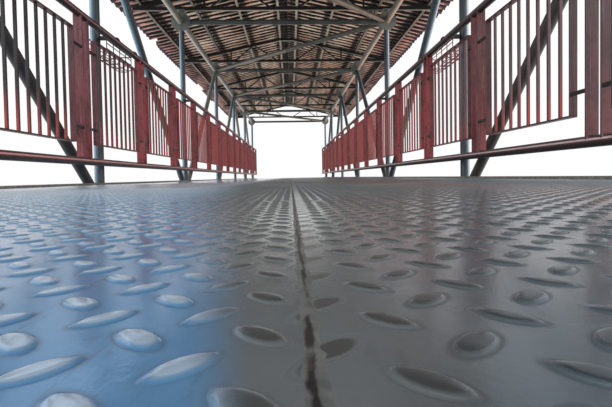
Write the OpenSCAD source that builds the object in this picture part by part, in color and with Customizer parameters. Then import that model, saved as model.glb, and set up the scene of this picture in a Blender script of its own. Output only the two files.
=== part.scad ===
// Covered footbridge made of steel pipe: two pipe trusses carry a chequer-plate deck,
// barred railings and a low gabled roof of corrugated sheets.
// X runs across the bridge, +Y along it, Z up from the ground. The origin is at the
// middle of the bridge on the ground. "left" is the -X side.

/* [Bridge] */
// Length of one bay, node to node
bay = 2600; // [2300:50:3000]
// Distance between the two trusses, centre to centre
truss_gap = 2860; // [2500:20:3200]
// Top of the deck above the ground
deck_top = 1500; // [1100:20:2400]
// Centre of the top chords above the deck
clear_height = 2200; // [2000:20:2600]

/* [Pipes] */
// Outer diameter of the four chords
chord_od = 83; // [80:1:110]
// Outer diameter of verticals, diagonals, struts and laterals
web_od = 70; // [48:1:76]
// Clearance left for the weld where one pipe meets another
weld_gap = 0.3; // [0.2:0.1:0.5]
// Length of each chord past the last node
chord_end = 60; // [50:5:120]

/* [Deck] */
// Thickness of the chequer plate
plate_t = 6; // [4:1:10]
// Depth of the stringers
stringer_h = 100; // [80:5:180]
// Width of the stringers
stringer_w = 60; // [40:5:80]
// Gap between deck edge and truss pipes
deck_edge_gap = 7; // [4:1:20]
// Seam between left and right plates, off the middle of the deck
seam_x = 46; // [0:2:120]
// Gap at the seam and at the plate joints
plate_gap = 3; // [2:1:6]
// Thickness of the end plates that close the stringers
end_t = 10; // [6:1:16]
// Distance of the joints across the deck before the nodes
joint_shift = 60; // [-300:10:300]
// Length of the deck past the last node
deck_over = 640; // [500:10:800]

/* [Railing] */
// Centre of the railing pipes from the centre of the truss
rail_inset = 120; // [100:5:160]
// Height of the handrail centre above the deck
handrail_z = 1120; // [1000:10:1200]
// Height of the lower rail pipe centre above the deck
low_rail_z = 162; // [120:2:200]
// Outer diameter of handrail and lower rail
rail_od = 50; // [40:1:60]
// Spaces between posts in two bays
post_spaces = 5; // [4:1:6]
// Length of the rail pipes past the last node
rail_end = 160; // [100:5:220]
// Distance of the left posts past the places that the right posts have
left_post_shift = 78; // [0:1:90]
// Distance between the two flats of a post, centre to centre
flat_gap = 87; // [60:1:95]
// Width of a post flat across the bridge
flat_w = 48; // [40:1:60]
// Thickness of a post flat
flat_t = 10; // [8:1:12]

/* [Railing panels] */
// Bars in one panel
bars = 8; // [6:1:9]
// Side of the square bars
bar_w = 16; // [12:1:20]
// Width of the panel's frame flats
frame_w = 36; // [30:1:45]
// Thickness of the panel's frame flats
frame_t = 8; // [6:1:10]
// Top of the panel above the deck
panel_top = 998; // [900:2:1040]
// Bottom of the panel above the deck
panel_foot = 278; // [240:2:340]
// Length of a lug, from the post to the panel
lug_l = 76; // [60:2:100]
// Height of a lug
lug_h = 18; // [12:1:30]
// Thickness of a lug
lug_t = 12; // [8:1:16]
// Centre of the lugs from the top and from the foot of the panel
lug_inset = 100; // [60:5:160]

/* [Roof] */
// Pitch of the roof in degrees
pitch = 12.5; // [8:0.5:18]
// Half span of the roof trusses
half_span = 2050; // [1900:10:2200]
// Half width of the flat top of a roof truss
apex_flat = 130; // [100:5:150]
// Centre of the roof truss bottom chord above the centre of the top chord
truss_lift = 185; // [170:5:260]
// Depth of the roof truss chords
rafter_h = 50; // [40:2:60]
// Thickness of the roof truss chords along the bridge
rafter_t = 40; // [30:2:60]
// Depth of the roof truss webs
brace_h = 25; // [16:1:30]
// Thickness of the roof truss webs along the bridge
brace_t = 20; // [12:1:30]
// Foot of the steep webs from the middle
brace_foot_x = 1050; // [900:10:1100]
// Head of the steep webs from the middle
brace_head_x = 650; // [500:10:750]
// Inner foot of the flat webs from the middle
brace_inner_x = 170; // [100:10:300]
// Upright webs from the middle
brace_post_x = 1110; // [1110:10:1300]
// Side of the seat plates on the stubs
seat_w = 116; // [100:2:130]
// Thickness of the seat plates
seat_t = 8; // [6:1:12]
// Horizontal distance from the middle to the eave edge
eave = 2320; // [2250:10:2450]
// Depth of the purlins
purlin_h = 60; // [50:2:80]
// Width of the purlins
purlin_w = 40; // [30:2:60]
// Length of the purlins past the last node
purlin_over = 300; // [200:10:380]
// Distance of the ridge purlins from the middle
ridge_purlin_x = 150; // [150:5:200]
// Distance of the upper middle purlins from the middle
upper_purlin_x = 780; // [600:10:900]
// Distance of the lower middle purlins from the middle
lower_purlin_x = 1400; // [1200:10:1600]
// Distance of the eave purlins from the ends of the roof trusses
purlin_inset = 60; // [0:1:80]

/* [Corrugated sheets] */
// Distance from crest to crest
wave = 130; // [120:5:150]
// Height of a corrugation from trough to crest, without the sheet thickness
wave_h = 24; // [16:1:30]
// Thickness of a sheet
sheet_t = 3; // [2:0.5:8]
// Corrugations in one sheet
waves_per_sheet = 6; // [5:1:8]
// Gap between neighbouring sheets
sheet_gap = 3; // [2:1:6]
// Distance of the sheets from the ridge line
ridge_gap = 40; // [30:5:60]
// Width of one wing of the ridge cap
cap_w = 150; // [120:5:220]
// Thickness of the ridge cap
cap_t = 3; // [2:0.5:5]

/* [Eave damage, left side] */
// Sheet with the broken corner, counted from the near end
broken_sheet = 9; // [2:1:14]
// Length of the broken corner along the eave
broken_l = 270; // [150:10:400]
// Depth of the broken corner
broken_d = 110; // [60:5:150]
// Sheet that is too short, counted from the near end
short_sheet = 14; // [2:1:14]
// Length that the short sheet lacks
short_by = 95; // [40:5:150]
// Uneven ends of all sheets, more or less
uneven = 9; // [2:1:15]

/* [Gussets] */
// Width of the octagonal gusset plates across the flats
gusset_w = 255; // [220:5:300]
// Thickness of the gusset plates
gusset_t = 10; // [8:1:16]

/* [Piers] */
// Outer diameter of the pier columns
column_od = 168; // [140:1:220]
// Side of the square base plates
base_w = 360; // [320:10:460]
// Thickness of the base plates
base_t = 20; // [16:1:30]
// Distance between anchor bolt holes
bolt_gap = 280; // [250:5:290]
// Diameter of the anchor bolt holes
bolt_d = 22; // [16:1:26]
// Height of the ribs on the base plates
rib_h = 120; // [80:5:160]
// Distance of the ribs inside the edges of the base plates
rib_inset = 15; // [10:1:30]
// Height of the blunt outer edge of the ribs
rib_nose = 20; // [10:1:30]
// Thickness of the ribs
rib_t = 8; // [6:1:16]
// Side of the square cap plates
cap_plate_w = 220; // [200:5:280]
// Thickness of the cap plates
cap_plate_t = 16; // [12:1:24]
// Width of a saddle across the chord
saddle_w = 70; // [60:2:76]
// Length of a saddle along the chord
saddle_l = 180; // [120:10:220]
// Thickness of a saddle under the chord
saddle_t = 20; // [16:1:40]
// Outer diameter of the tie pipe between two columns
tie_od = 89; // [76:1:114]
// Height of the tie pipe above the ground
tie_z = 300; // [250:10:500]

/* [Hidden] */
$fn = 48;

// Places along and across the bridge. Each node line has a roof truss of its own name.
bays = 6;
length = bays * bay;
truss_x = truss_gap / 2;
rail_x = truss_x - rail_inset;
node_y = [for (k = [0 : bays]) (k - bays / 2) * bay];
support_nodes = [1, bays - 1];
chord_len = length + 2 * chord_end;

// Heights
chord_r = chord_od / 2;
web_r = web_od / 2;
top_z = deck_top + clear_height;
low_z = deck_top - plate_t - stringer_h - web_r;
deck_half = truss_x - web_r - deck_edge_gap;

// Diagonals as [node at the top, node at the bottom]. The laterals run in the same pattern,
// as [left node, right node].
diagonals = [for (k = [0 : bays - 1]) k % 4 < 2 ? [k, k + 1] : [k + 1, k]];
laterals = diagonals;

// Posts and panels along one side
post_gap = 2 * bay / post_spaces;
post_count = bays * post_spaces / 2 + 1;
panel_w = post_gap - flat_gap - flat_t - 2 * lug_l;
bar_pitch = (panel_w - frame_t) / (bars + 1);
rail_face = rail_x - flat_w / 2;

// Deck
deck_end = length / 2 + deck_over;
stringer_len = 2 * (deck_end - end_t);
side_stringer_x = deck_half - stringer_w / 2;
stringer_x = [-side_stringer_x, (seam_x - side_stringer_x) / 2, seam_x,
    (seam_x + side_stringer_x) / 2, side_stringer_x];
plate_ends = concat([-deck_end], [for (y = node_y) y - joint_shift], [deck_end]);

// Roof: lines are offsets, square to the slope, from the centre line of the rafters
roof_low_z = top_z + truss_lift;
apex_z = roof_low_z + (half_span - apex_flat) * tan(pitch);
ridge_z = apex_z + apex_flat * tan(pitch);
purlin_base = rafter_h / 2;
sheet_base = purlin_base + purlin_h;
flat_share = cos(30);
wave_rise = wave_h * flat_share;
crest = sheet_base + wave_rise + sheet_t;
truss_end = half_span + purlin_w;
purlin_x = [ridge_purlin_x, upper_purlin_x, lower_purlin_x, half_span - purlin_inset];
purlin_len = length + 2 * purlin_over;
uneven_step = 77;
sheet_w = waves_per_sheet * wave;
sheet_count = ceil(purlin_len / sheet_w);

// Piers
saddle_top = low_z - web_r - weld_gap;
column_top = low_z - chord_r - saddle_t - cap_plate_t;

steel = "slategray";
dark_steel = "dimgray";
rail_red = "brown";
roof_brown = "rosybrown";
deck_blue = "lightslategray";

// A round bar from point p to point q
module pipe(p, q, d) {
    v = q - p;
    len = norm(v);
    translate(p)
        rotate([0, acos(v[2] / len), atan2(v[1], v[0])])
            cylinder(h = len, d = d);
}

// Points where the truss members meet
function top_point(side, k) = [side * truss_x, node_y[k], top_z];
function low_point(side, k) = [side * truss_x, node_y[k], low_z];

// A pipe along the bridge
module long_pipe(x, z, d, len) {
    translate([x, -len / 2, z])
        rotate([-90, 0, 0])
            cylinder(h = len, d = d);
}

// Cutters that leave the weld gap round a member
module chord_cut(side, z) { long_pipe(side * truss_x, z, chord_od + 2 * weld_gap, 2 * length); }

module vertical_cut(side, k) {
    pipe(low_point(side, k), top_point(side, k), web_od + 2 * weld_gap);
}

module diagonal_cut(side, d) {
    pipe(top_point(side, d[0]), low_point(side, d[1]), web_od + 2 * weld_gap);
}

module cross_cut(k, z) {
    pipe([-truss_x, node_y[k], z], [truss_x, node_y[k], z], web_od + 2 * weld_gap);
}

// Everything in the truss of one side that meets at node k
module truss_cut(side, k, z) {
    chord_cut(side, z);
    vertical_cut(side, k);
    for (d = diagonals)
        if (d[0] == k && z == top_z || d[1] == k && z == low_z)
            diagonal_cut(side, d);
}

// Main trusses
module chord(side, z) {
    long_pipe(side * truss_x, z, chord_od, chord_len);
}

module verticals(side) {
    for (k = [0 : bays])
        difference() {
            pipe(low_point(side, k), top_point(side, k), web_od);
            chord_cut(side, low_z);
            chord_cut(side, top_z);
        }
}

module truss_diagonals(side) {
    for (d = diagonals)
        difference() {
            pipe(top_point(side, d[0]), low_point(side, d[1]), web_od);
            chord_cut(side, low_z);
            chord_cut(side, top_z);
            vertical_cut(side, d[0]);
            vertical_cut(side, d[1]);
        }
}

// Pipes that join the two trusses
module struts(z) {
    for (k = [0 : bays])
        difference() {
            pipe([-truss_x, node_y[k], z], [truss_x, node_y[k], z], web_od);
            for (side = [-1, 1])
                truss_cut(side, k, z);
        }
}

module lateral_pipes(z) {
    for (l = laterals)
        difference() {
            pipe([-truss_x, node_y[l[0]], z], [truss_x, node_y[l[1]], z], web_od);
            for (end = [0, 1]) {
                truss_cut(2 * end - 1, l[end], z);
                cross_cut(l[end], z);
            }
            if (z == top_z)
                behind_gusset(l[0] > l[1] ? -1 : 1, max(l));
        }
}

// Octagonal plate on the near side of a top node
module gusset_blank(side, k) {
    translate([side * truss_x, node_y[k] - web_r - weld_gap, top_z])
        rotate([90, 22.5, 0])
            cylinder(h = gusset_t, d = gusset_w / cos(22.5), $fn = 8);
}

// The space from the near face of a gusset plate to past its node
module behind_gusset(side, k) {
    near = node_y[k] - web_r - weld_gap - gusset_t;
    translate([side * truss_x - gusset_w, near, top_z - gusset_w / 2])
        cube([2 * gusset_w, 2 * gusset_w, gusset_w]);
}

module gussets(side) {
    for (k = [0 : bays])
        difference() {
            gusset_blank(side, k);
            chord_cut(side, top_z);
            for (d = diagonals)
                if (d[0] == k)
                    diagonal_cut(side, d);
        }
}

// Deck
module stringers() {
    for (x = stringer_x)
        translate([x - stringer_w / 2, -stringer_len / 2, low_z + web_r])
            cube([stringer_w, stringer_len, stringer_h]);
}

module end_plates() {
    for (y = [-deck_end, deck_end - end_t])
        translate([-deck_half, y, low_z + web_r])
            cube([2 * deck_half, end_t, stringer_h]);
}

module deck_plates(x0, x1) {
    for (k = [0 : len(plate_ends) - 2])
        translate([x0, plate_ends[k] + (k == 0 ? 0 : plate_gap), deck_top - plate_t])
            cube([x1 - x0, plate_ends[k + 1] - plate_ends[k] - (k == 0 ? 0 : plate_gap), plate_t]);
}

// Railings
module rail_pipe(side, z) {
    long_pipe(side * rail_x, deck_top + z, rail_od, length + 2 * rail_end);
}

module rail_cut(side, z) {
    long_pipe(side * rail_x, deck_top + z, rail_od + 2 * weld_gap, 2 * length);
}

// Middle of post k, counted from the near end
function post_y(side, k) = k * post_gap - length / 2 + (side < 0 ? left_post_shift : 0);

module rail_posts(side) {
    for (k = [0 : post_count - 1], s = [-1, 1])
        difference() {
            translate([side * rail_x - flat_w / 2, post_y(side, k) + s * flat_gap / 2 - flat_t / 2,
                    deck_top + low_rail_z])
                cube([flat_w, flat_t, handrail_z - low_rail_z]);
            rail_cut(side, low_rail_z);
            rail_cut(side, handrail_z);
        }
}

// One panel on the right side, its middle at y = 0
module rail_panel() {
    height = panel_top - panel_foot;
    translate([rail_face, 0, deck_top + panel_foot]) {
        for (z = [0, height - frame_t])
            translate([0, -panel_w / 2, z])
                cube([frame_w, panel_w, frame_t]);
        for (s = [-1, 1])
            translate([0, s * (panel_w - frame_t) / 2 - frame_t / 2, 0])
                cube([frame_w, frame_t, height]);
        for (k = [1 : bars])
            translate([(frame_w - bar_w) / 2, (k - (bars + 1) / 2) * bar_pitch - bar_w / 2, 0])
                cube([bar_w, bar_w, height]);
        for (s = [-1, 1], z = [lug_inset, height - lug_inset])
            translate([0, s > 0 ? panel_w / 2 : -panel_w / 2 - lug_l, z - lug_h / 2])
                cube([lug_t, lug_l, lug_h]);
    }
}

module rail_panels(side) {
    for (k = [0 : post_count - 2])
        translate([0, post_y(side, k) + post_gap / 2, 0])
            mirror([side < 0 ? 1 : 0, 0, 0])
                rail_panel();
}

// Flats that hold the rail pipes to the truss verticals
module brackets() {
    for (side = [-1, 1], k = [0 : bays], z = [low_rail_z, handrail_z])
        difference() {
            translate([side > 0 ? rail_x : -truss_x, node_y[k] - frame_t / 2,
                    deck_top + z - bar_w])
                cube([rail_inset, frame_t, 2 * bar_w]);
            rail_cut(side, z);
            vertical_cut(side, k);
        }
}

// Flat bar in a roof truss, drawn in the x-z plane as x-y
module flat_bar(p, q, w) {
    v = q - p;
    translate(p)
        rotate(atan2(v[1], v[0]))
            translate([0, -w / 2])
                square([norm(v), w]);
}

function rafter_z(x) = ridge_z - x * tan(pitch);

// Upper and lower line of the rafters and the flat between them, s = 1 above and -1 below
function rafter_line(s) =
    let (bend_x = apex_flat + s * rafter_h / 2 * tan(pitch / 2),
        end_z = rafter_z(truss_end) + s * rafter_h / 2 / cos(pitch))
    [[-truss_end, end_z], [-bend_x, apex_z + s * rafter_h / 2],
        [bend_x, apex_z + s * rafter_h / 2], [truss_end, end_z]];

module truss_chords_2d() {
    foot = roof_low_z - rafter_h / 2;
    translate([-half_span, foot])
        square([2 * half_span, rafter_h]);
    intersection() {
        polygon(concat(rafter_line(1), [for (i = [3 : -1 : 0]) rafter_line(-1)[i]]));
        translate([-truss_end, foot])
            square([2 * truss_end, ridge_z]);
    }
}

module truss_webs_2d() {
    for (s = [-1, 1]) {
        flat_bar([s * brace_post_x, roof_low_z], [s * brace_post_x, rafter_z(brace_post_x)], brace_h);
        flat_bar([s * brace_foot_x, roof_low_z], [s * brace_head_x, rafter_z(brace_head_x)], brace_h);
        flat_bar([s * brace_head_x, rafter_z(brace_head_x)], [s * brace_inner_x, roof_low_z], brace_h);
    }
}

module roof_truss(k) {
    if (k <= bays)
        translate([0, node_y[k], 0])
            rotate([90, 0, 0]) {
                translate([0, 0, -rafter_t / 2])
                    linear_extrude(rafter_t)
                        truss_chords_2d();
                translate([0, 0, -brace_t / 2])
                    linear_extrude(brace_t)
                        truss_webs_2d();
            }
}

// Short pipes with seat plates between the top nodes and the roof trusses
module stubs() {
    stub_h = truss_lift - rafter_h / 2 - seat_t;
    for (side = [-1, 1], k = [0 : bays]) {
        difference() {
            translate([side * truss_x, node_y[k], top_z])
                cylinder(h = stub_h, d = web_od);
            chord_cut(side, top_z);
        }
        translate([side * truss_x - seat_w / 2, node_y[k] - seat_w / 2, top_z + stub_h])
            cube([seat_w, seat_w, seat_t]);
    }
}

// Puts what is drawn with x along the slope and z square to it on the right roof slope
module on_slope() {
    translate([0, 0, ridge_z])
        rotate([0, pitch, 0])
            children();
}

module purlins() {
    on_slope()
        for (x = purlin_x)
            translate([x / cos(pitch) - purlin_w / 2, -purlin_len / 2, purlin_base])
                cube([purlin_w, purlin_len, purlin_h]);
}

// Lower line of a corrugated sheet: flats at trough and crest, joined by slopes
function wave_point(i) = let (phase = 30 + 60 * i)
    [(phase / 360) * wave, (1 - cos(phase)) * wave_h / 2 - (1 - flat_share) * wave_h / 2];

module sheet_profile() {
    steps = [for (i = [-1 : 6 * waves_per_sheet]) i];
    under = [for (i = steps) wave_point(i)];
    over = [for (i = steps) wave_point(i) + [0, sheet_t]];
    intersection() {
        polygon(concat(under, [for (i = [len(over) - 1 : -1 : 0]) over[i]]));
        translate([0, -wave_h])
            square([sheet_w - sheet_gap, 3 * wave_h]);
    }
}

// Sheets on one slope, a little uneven at the eave. The sheet counted as short lacks its end.
module roof_sheets(short = 0) {
    start = (ridge_gap - sheet_base * sin(pitch)) / cos(pitch);
    run = (eave - ridge_gap) / cos(pitch);
    on_slope()
        for (k = [0 : sheet_count - 1]) {
            lacks = k + 1 == short ? short_by : 0;
            translate([start, (k - sheet_count / 2) * sheet_w, sheet_base])
                rotate([90, 0, 90])
                    linear_extrude(run + uneven * sin(uneven_step * k) - lacks)
                        sheet_profile();
        }
}

// Left sheets: one is short, and one has lost a corner at the eave
module left_roof_sheets() {
    edge = (eave - sheet_base * sin(pitch)) / cos(pitch);
    corner_y = (broken_sheet - sheet_count / 2) * sheet_w;
    difference() {
        roof_sheets(short_sheet);
        on_slope()
            translate([edge, corner_y, sheet_base - wave_h])
                linear_extrude(3 * wave_h)
                    polygon([[-broken_d, 0], [-0.6 * broken_d, -0.3 * broken_l],
                        [-0.5 * broken_d, -0.7 * broken_l], [0, -broken_l],
                        [broken_d, -broken_l], [broken_d, 0]]);
    }
}

module ridge_capping() {
    rise = crest / cos(pitch);
    cap_x = cap_w * cos(pitch);
    cap_y = cap_w * sin(pitch);
    translate([0, sheet_count * sheet_w / 2, ridge_z + rise])
        rotate([90, 0, 0])
            linear_extrude(sheet_count * sheet_w)
                polygon([[0, 0], [cap_x, -cap_y], [cap_x, -cap_y + cap_t],
                    [0, cap_t], [-cap_x, -cap_y + cap_t], [-cap_x, -cap_y]]);
}

// Piers
module at_columns() {
    for (side = [-1, 1], k = support_nodes)
        translate([side * truss_x, node_y[k], 0])
            children();
}

module bases() {
    at_columns()
        difference() {
            translate([-base_w / 2, -base_w / 2, 0])
                cube([base_w, base_w, base_t]);
            for (x = [-1, 1], y = [-1, 1])
                translate([x * bolt_gap / 2, y * bolt_gap / 2, -1])
                    cylinder(h = base_t + 2, d = bolt_d);
        }
}

// Upright ribs between the base plates and the columns
module ribs() {
    inner = column_od / 2 + weld_gap;
    outer = base_w / 2 - rib_inset;
    at_columns()
        for (turn = [0 : 90 : 270])
            rotate([90, 0, turn])
                translate([0, 0, -rib_t / 2])
                    linear_extrude(rib_t)
                        polygon([[inner, base_t], [outer, base_t], [outer, base_t + rib_nose],
                            [inner + rib_nose, base_t + rib_h], [inner, base_t + rib_h]]);
}

module columns() {
    at_columns()
        translate([0, 0, base_t])
            cylinder(h = column_top - base_t, d = column_od);
}

module ties() {
    for (k = support_nodes)
        difference() {
            pipe([-truss_x, node_y[k], tie_z], [truss_x, node_y[k], tie_z], tie_od);
            for (side = [-1, 1])
                translate([side * truss_x, node_y[k], 0])
                    cylinder(h = column_top, d = column_od + 2 * weld_gap);
        }
}

module caps() {
    at_columns()
        translate([-cap_plate_w / 2, -cap_plate_w / 2, column_top])
            cube([cap_plate_w, cap_plate_w, cap_plate_t]);
}

module chord_saddles() {
    at_columns()
        translate([-saddle_w / 2, -saddle_l / 2, column_top + cap_plate_t])
            difference() {
                cube([saddle_w, saddle_l, saddle_top - column_top - cap_plate_t]);
                translate([saddle_w / 2, -1, low_z - column_top - cap_plate_t])
                    rotate([-90, 0, 0])
                        cylinder(h = saddle_l + 2, d = chord_od);
            }
}

color(dark_steel) bases();  // base_plates
color(dark_steel) ribs();  // base_ribs
color(steel) columns();  // pier_columns
color(steel) ties();  // pier_ties
color(dark_steel) caps();  // cap_plates
color(dark_steel) chord_saddles();  // saddles
color(steel) chord(-1, low_z);  // bottom_chord_left
color(steel) chord(1, low_z);  // bottom_chord_right
color(steel) chord(-1, top_z);  // top_chord_left
color(steel) chord(1, top_z);  // top_chord_right
color(steel) verticals(-1);  // verticals_left
color(steel) verticals(1);  // verticals_right
color(steel) truss_diagonals(-1);  // diagonals_left
color(steel) truss_diagonals(1);  // diagonals_right
color(steel) struts(low_z);  // cross_pipes
color(steel) lateral_pipes(low_z);  // bottom_laterals
color(steel) struts(top_z);  // top_struts
color(steel) lateral_pipes(top_z);  // top_laterals
color(dark_steel) gussets(-1);  // gussets_left
color(dark_steel) gussets(1);  // gussets_right
color(dark_steel) stringers();
color(dark_steel) end_plates();
color(deck_blue)  // deck_plates_left
    deck_plates(-deck_half, seam_x - plate_gap / 2);
color(deck_blue)  // deck_plates_right
    deck_plates(seam_x + plate_gap / 2, deck_half);
color(rail_red) rail_pipe(-1, handrail_z);  // handrail_left
color(rail_red) rail_pipe(1, handrail_z);  // handrail_right
color(rail_red) rail_pipe(-1, low_rail_z);  // low_rail_left
color(rail_red) rail_pipe(1, low_rail_z);  // low_rail_right
color(rail_red) rail_posts(-1);  // rail_posts_left
color(rail_red) rail_posts(1);  // rail_posts_right
color(rail_red) rail_panels(-1);  // rail_panels_left
color(rail_red) rail_panels(1);  // rail_panels_right
color(rail_red) brackets();  // rail_brackets
color(dark_steel) roof_truss(0);  // roof_truss_1
color(dark_steel) roof_truss(1);  // roof_truss_2
color(dark_steel) roof_truss(2);  // roof_truss_3
color(dark_steel) roof_truss(3);  // roof_truss_4
color(dark_steel) roof_truss(4);  // roof_truss_5
color(dark_steel) roof_truss(5);  // roof_truss_6
color(dark_steel) roof_truss(6);  // roof_truss_7
color(dark_steel) stubs();  // roof_stubs
color(dark_steel) mirror([1, 0, 0]) purlins();  // purlins_left
color(dark_steel) purlins();  // purlins_right
color(roof_brown) mirror([1, 0, 0]) left_roof_sheets();  // roof_sheets_left
color(roof_brown) roof_sheets();  // roof_sheets_right
color(roof_brown) ridge_capping();  // ridge_cap
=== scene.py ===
"""Looks of the covered pipe footbridge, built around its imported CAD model.

X runs across the bridge, +Y along it, Z up from the ground, all in metres. Left is where X is
below zero, and near is where Y is lowest.
"""

import math

import bpy
import numpy as np
from mathutils import Matrix, Vector


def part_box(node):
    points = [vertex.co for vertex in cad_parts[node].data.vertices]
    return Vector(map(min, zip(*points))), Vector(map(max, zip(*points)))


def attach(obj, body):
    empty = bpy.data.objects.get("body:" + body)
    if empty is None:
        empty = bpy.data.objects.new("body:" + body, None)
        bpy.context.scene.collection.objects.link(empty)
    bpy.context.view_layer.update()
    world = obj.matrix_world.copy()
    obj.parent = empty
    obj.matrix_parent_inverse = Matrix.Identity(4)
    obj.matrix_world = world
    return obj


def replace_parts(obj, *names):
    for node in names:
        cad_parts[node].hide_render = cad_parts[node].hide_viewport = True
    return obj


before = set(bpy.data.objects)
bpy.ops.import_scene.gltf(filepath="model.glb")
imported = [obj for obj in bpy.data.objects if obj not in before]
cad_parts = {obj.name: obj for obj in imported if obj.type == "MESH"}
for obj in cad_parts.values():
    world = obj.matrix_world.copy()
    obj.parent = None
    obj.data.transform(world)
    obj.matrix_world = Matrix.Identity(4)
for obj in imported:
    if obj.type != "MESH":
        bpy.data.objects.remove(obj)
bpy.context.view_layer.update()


def middle(name):
    """Middle of the box of a CAD node."""
    low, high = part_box(name)
    return (low + high) / 2


def size(name):
    """Size of the box of a CAD node."""
    low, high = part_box(name)
    return high - low


SIDES = (-1, 1)
SIDE_NAMES = {-1: "left", 1: "right"}

# Deck and trusses, as the CAD model sets them
LEFT_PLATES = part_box("deck_plates_left")
RIGHT_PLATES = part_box("deck_plates_right")
DECK = LEFT_PLATES[1].z
DECK_END = LEFT_PLATES[1].y
DECK_EDGE = RIGHT_PLATES[1].x
SEAM_X = (LEFT_PLATES[1].x + RIGHT_PLATES[0].x) / 2
SEAM_GAP = RIGHT_PLATES[0].x - LEFT_PLATES[1].x
TRUSS_X = middle("top_chord_right").x
TOP_Z = middle("top_chord_right").z
LOW_Z = middle("bottom_chord_right").z
CHORD_R = size("top_chord_right").x / 2
WEB_R = size("top_struts").z / 2
BAYS = 6
BAY = (middle("roof_truss_7").y - middle("roof_truss_1").y) / BAYS
NODE_Y = [(k - BAYS / 2) * BAY for k in range(BAYS + 1)]
DIAGONALS = [(k, k + 1) if k % 4 < 2 else (k + 1, k) for k in range(BAYS)]
JOINT_SHIFT = 0.06
DECK_JOINTS = [y - JOINT_SHIFT for y in NODE_Y]
GUSSET_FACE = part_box("gussets_right")[0].y - NODE_Y[0]
PIER_NODES = (1, 5)
WELD_R = 0.006
WELD_RIPPLE = 0.25
DIRT_FINE_UNTIL = 1.2 - DECK_END
DIRT_STEP = 0.03
DIRT_FINE_STEP = 0.003
JOINT_FINE_STEP = 0.006
DIRT_SPILL = (0.0003, 0.0018)
DIRT_HEAP = (0.0001, 0.0004)
DIRT_SUNK = 0.0001
KERB_H = 0.016
KERB_T = 0.006

# Railings. The flats of a post are wider than in the CAD model, on their outer edge.
RAIL_X = middle("handrail_right").x
HANDRAIL_Z = middle("handrail_right").z
LOW_RAIL_Z = middle("low_rail_right").z
RAIL_R = size("handrail_right").x / 2
RAIL_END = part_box("handrail_right")[1].y
POST_GAP = BAY * 2 / 5
POST_COUNT = 16
FLAT_GAP = 0.087
FLAT_W = size("rail_posts_right").x
FLAT_WIDER = 0.008
FLAT_T = 0.01
FLAT_SUNK = 0.008
FLAT_BOW = 0.0015
RAIL_WELD_R = 0.0032
RAIL_WELD_RIPPLE = 0.3
RAIL_WELD_IN = 0.002
RAIL_WELD_OFF = 0.001
RAIL_CAP_H = 0.008
PANEL_LOW, PANEL_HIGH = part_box("rail_panels_right")
BARS = 8
BAR_PITCH = 0.087
BAR_W = 0.0142
BAR_EDGE = 0.0015
BAR_SHOVE = 0.0012
FRAME_T = 0.008
PANEL_W = (BARS + 1) * BAR_PITCH + FRAME_T
LUG_INSET = 0.1
LUG_BLOCK_H = 0.017
LUG_BLOCK_T = 0.012
LUG_BLOCK_SUNK = 0.001

# Posts and panels that the photograph shows a little off their even places, by side and number
POSTS_OFF = {(-1, 2): -0.014, (1, 1): -0.028, (1, 2): 0.026}
PANELS_OFF = {(-1, 1): -0.042, (1, 1): -0.012}


def even_post(side, number):
    """Place of a post in even spacing, counted from the near end."""
    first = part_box(f"rail_posts_{SIDE_NAMES[side]}")[0].y + (FLAT_GAP + FLAT_T) / 2
    return first + number * POST_GAP


def post_line(side):
    """Middles of the posts on one side."""
    return [even_post(side, k) + POSTS_OFF.get((side, k), 0) for k in range(POST_COUNT)]


# Flower baskets of wire, hung outside the handrails. Heights are above the deck.
BASKET_TOP = 1.118
BASKET_LOW = 0.99
BASKET_BANDS = (1.09, 1.05, 1.02)
BASKET_IN = 0.02
BASKET_OUT = 0.18
BASKET_BEND = 0.03
FLOOR_WIRES = (0.2, 0.5, 0.8)
WIRE_OVER = 0.004
HOOK_GAP = 0.005
HOOP_STEP = 0.122
WIRE_R = 0.0034
RIM_WIRE_R = 0.0048

# Roof. Along the slope is measured from the ridge line, and up is square to the slope.
PITCH = math.radians(12.5)
SIN = math.sin(PITCH)
COS = math.cos(PITCH)
RAFTER_H = 0.05
APEX_FLAT = 0.13
RIDGE_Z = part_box("roof_truss_1")[1].z - RAFTER_H / 2 + APEX_FLAT * math.tan(PITCH)
SHEET_BASE = RAFTER_H / 2 + 0.06
SHEETS = 22
SHEET_T = 0.0012
SHEET_LAP = 0.04
LAP_RISE = 0.0025
SHEET_SAG = 0.0015
EDGE_FRAY = 0.004
WAVES = 5
WAVE_STEPS = 14
WAVE_RISE = 0.042
ROOF_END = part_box("ridge_cap")[1].y
SHEET_W = 2 * ROOF_END / SHEETS
WAVE = SHEET_W / WAVES
ROOF_SHIFT = {-1: -0.04, 1: -0.073}
RIDGE_GAP = 0.04
EAVE = 2.32
SHEET_START = (RIDGE_GAP - SHEET_BASE * SIN) / COS
SHEET_RUN = (EAVE - RIDGE_GAP) / COS
PURLIN_X = {-1: [0.115, 0.73, 1.335, 1.965], 1: [0.185, 0.765, 1.4, 2.02]}
PURLIN_W = 0.034
PURLIN_H = 0.06
PURLIN_T = 0.005
PURLIN_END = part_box("purlins_right")[1].y
THIN_EDGE = 0.0008
CLEAT_T = 0.005
CLEAT_LEGS = ((0.05, CLEAT_T), (CLEAT_T, 0.045))
CLEAT_HALF = 0.02
CLEAT_ALONG = 0.0202
CLEAT_GAP = 0.0003
CAP_LENGTHS = 7
CAP_LAP = 0.05
CAP_LAP_RISE = 0.002
CAP_WING = 0.15
CAP_LIP = 0.006
CAP_ROLL = 0.02
CAP_UP = 0.13

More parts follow.
